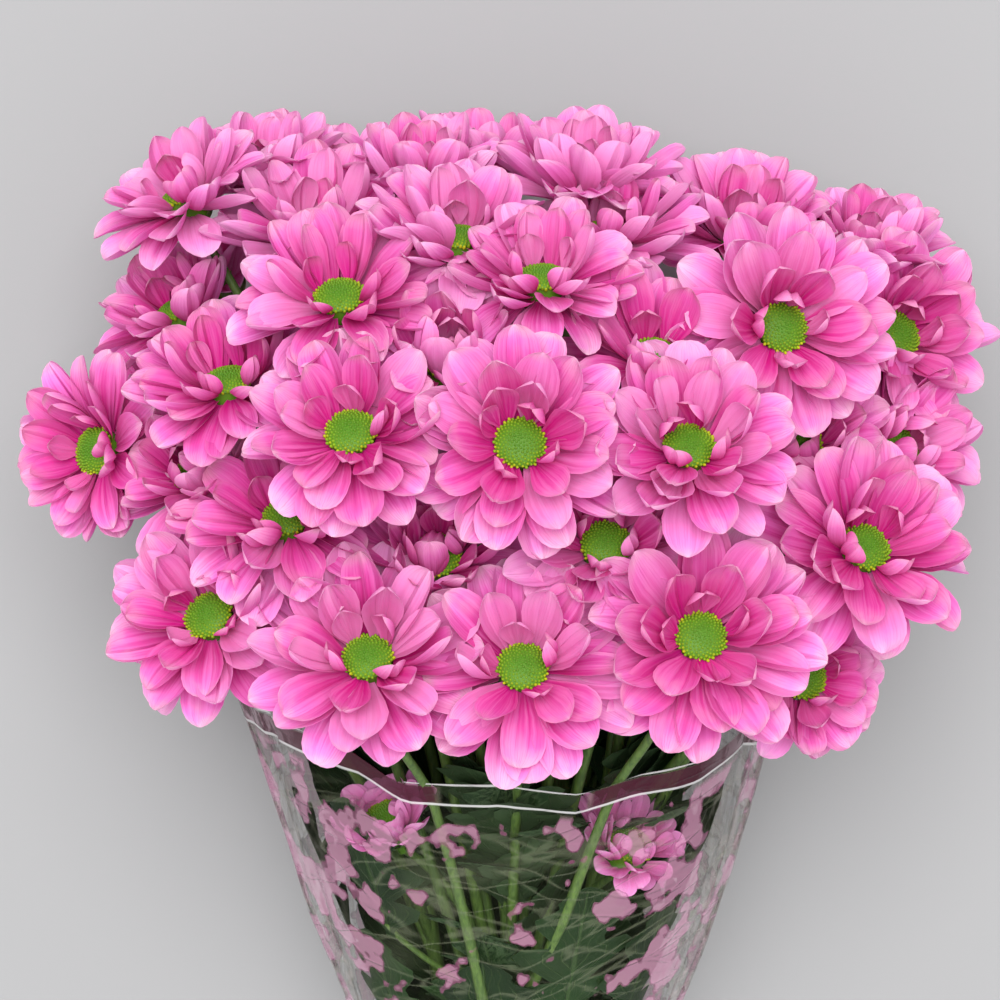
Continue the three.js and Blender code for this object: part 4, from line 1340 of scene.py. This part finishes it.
def film_finish():
    finish = Finish("film")
    below, side, front, inner = (finish.held(name) for name in ("below", "side", "front", "inner"))
    around = finish.place()
    depth = below + (finish.noise(around, 30.0, 2.0) - 0.5) * 3
    band = depth.rise(*BAND[:2]) * (1 - depth.rise(*BAND[2:]))
    # painted highlights: pale lines along the rim's edges, one above the band and one below it
    lower_rim_highlight = depth.rise(*LOWER_HIGHLIGHT[:2]) * (1 - depth.rise(*LOWER_HIGHLIGHT[2:]))
    rim_highlights = (1 - depth.rise(*UPPER_HIGHLIGHT)).most(lower_rim_highlight)
    window = (1 - abs(side - 0.02).rise(0.26, 0.3)) * front.rise(0.0, 0.2)
    maroon = band * (1 - window)

    # painted reflection: a pale milky sheen on the pleated sides, where the film is seen edge on and
    # catches the light
    side_pleat_sheen = abs(side).rise(0.7, 1.0) * finish.noise(finish.place((400, 12, 400)), 1.0, 3.0).rise(0.4, 0.6)
    slant = below + side * 22 + finish.noise(around, 14.0, 2.0) * 26
    counter = below - side * 16 + finish.noise(around, 11.0, 2.0) * 30
    ridge = crease(finish, side * 1.6, slant, front * 0.7, 0.085)
    other = crease(finish, side * 1.2, counter, front, 0.06)
    creases = ridge.rise(0.94, 1.0).most(other.rise(0.95, 1.0) * 0.8)
    # painted reflection: pale milky streaks along the creases, where the folds catch the light
    streak_sheen = finish.noise(finish.join(side * 1.5, slant * 0.035, front), 1.0, 2.0).rise(0.5, 0.75)
    crease_sheen = (creases * 0.6 + streak_sheen * 0.22) * (below.rise(9, 26) * (1 - below.rise(80, 150)))

    crowd = 0.1 * abs(side).rise(0.25, 0.8) + 0.02 * (1 - below.rise(40, 120))
    spots = finish.noise(finish.place((1, 0.75, 1)), 66.0, 2.4, 0.55) + crowd
    blotch = spots.rise(0.63, 0.645) * below.rise(8, 12)
    outline = blotch * (1 - spots.rise(0.648, 0.67))
    body = finish.painted(
        (128, 134, 108),
        (blotch, (196, 140, 168)),
        (outline * 0.8, (120, 50, 88)),
        (maroon, (66, 12, 34)),
        (side_pleat_sheen * 0.5, (206, 182, 194)),
        (rim_highlights, (225, 225, 225)))

    solid = (0.02 + side_pleat_sheen * 0.28 + crease_sheen * 0.4).most(blotch * 0.5).most(maroon * 0.86).most(rim_highlights * 0.62)
    relief = finish.noise(finish.place((30, 60, 30)), 1.0, 4.0) + creases * 0.3
    clear = finish.node("ShaderNodeBsdfTransparent").outputs[0]
    plastic = finish.gloss(body, 0.18, 0.22, relief, 1.2 * MM)
    return finish.done(finish.between(solid * (1 - inner), clear, plastic))


film_material = film_finish()
print("material:", film_material.name)

# %% Set the film
across, deep, level = film.points.T
lifts = np.interp(np.degrees(np.arctan2(deep, across)), *zip(*RIM_LIFTS))
ease = RIM_EASE / MM
sizes = np.array([sleeve_size(z) for z in level])
held = {
    "below": np.where(level / MM > -ease, (lifts - level / MM) / (1 + lifts / ease), -level / MM),
    "side": across / sizes[:, 0],
    "front": -deep / sizes[:, 1],
    "inner": np.arange(len(level)) >= len(level) // 2,
}
piece = copied("film_sleeve", [(film, film.points, held)], film_material)
hand_over(piece, "sleeve")
print("film:", len(piece.data.polygons), "faces, and on one side of it",
      round(sum(face.area for face in piece.data.polygons) / 2, 4), "m2")

# %% [markdown]
# ## Floor and light
#
# The bunch is shown on a plain pale floor, in even studio light. Area lights would do, but a bright
# room and one broad sun are simpler and light every side. The sun stands beyond the blooms, so
# that it falls along the petals and down on the discs.

# %% Floor and light
FLOOR_SIZE = 6
ROOM_LIGHT = 0.95
SUN_WIDTH = math.radians(42)
SUN_STRENGTH = 3.4
SUN_PLACE = (-0.3, 0.9, 1.4)
SUN_DIRECTION = Vector((0.03, -0.4, -1))

bpy.ops.mesh.primitive_plane_add(size=FLOOR_SIZE)
floor = bpy.context.object
floor.name = "floor"
paint = Finish("floor")
floor.data.materials.append(paint.done(paint.gloss(colour(154, 154, 155), 0.9, 0.1)))

world = bpy.context.scene.world or bpy.data.worlds.new("world")
bpy.context.scene.world = world
world.use_nodes = True
room = world.node_tree.nodes["Background"]
room.inputs["Color"].default_value = (1, 1, 1, 1)
room.inputs["Strength"].default_value = ROOM_LIGHT
bpy.context.scene.view_settings.view_transform = "Standard"

bpy.ops.object.light_add(type="SUN", location=SUN_PLACE)
sun = bpy.context.object
sun.data.angle = SUN_WIDTH
sun.data.energy = SUN_STRENGTH
sun.rotation_euler = SUN_DIRECTION.to_track_quat("-Z", "Y").to_euler()
print("sun:", round(sun.data.energy, 1), "W/m2")

# %% Size, and the end
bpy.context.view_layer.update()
meshes = [thing for thing in bpy.data.objects if thing.type == "MESH" and thing is not floor]
added = [thing for thing in meshes if thing.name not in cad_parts]
print("pieces added:", len(added), "triangles:", triangles_of(added))
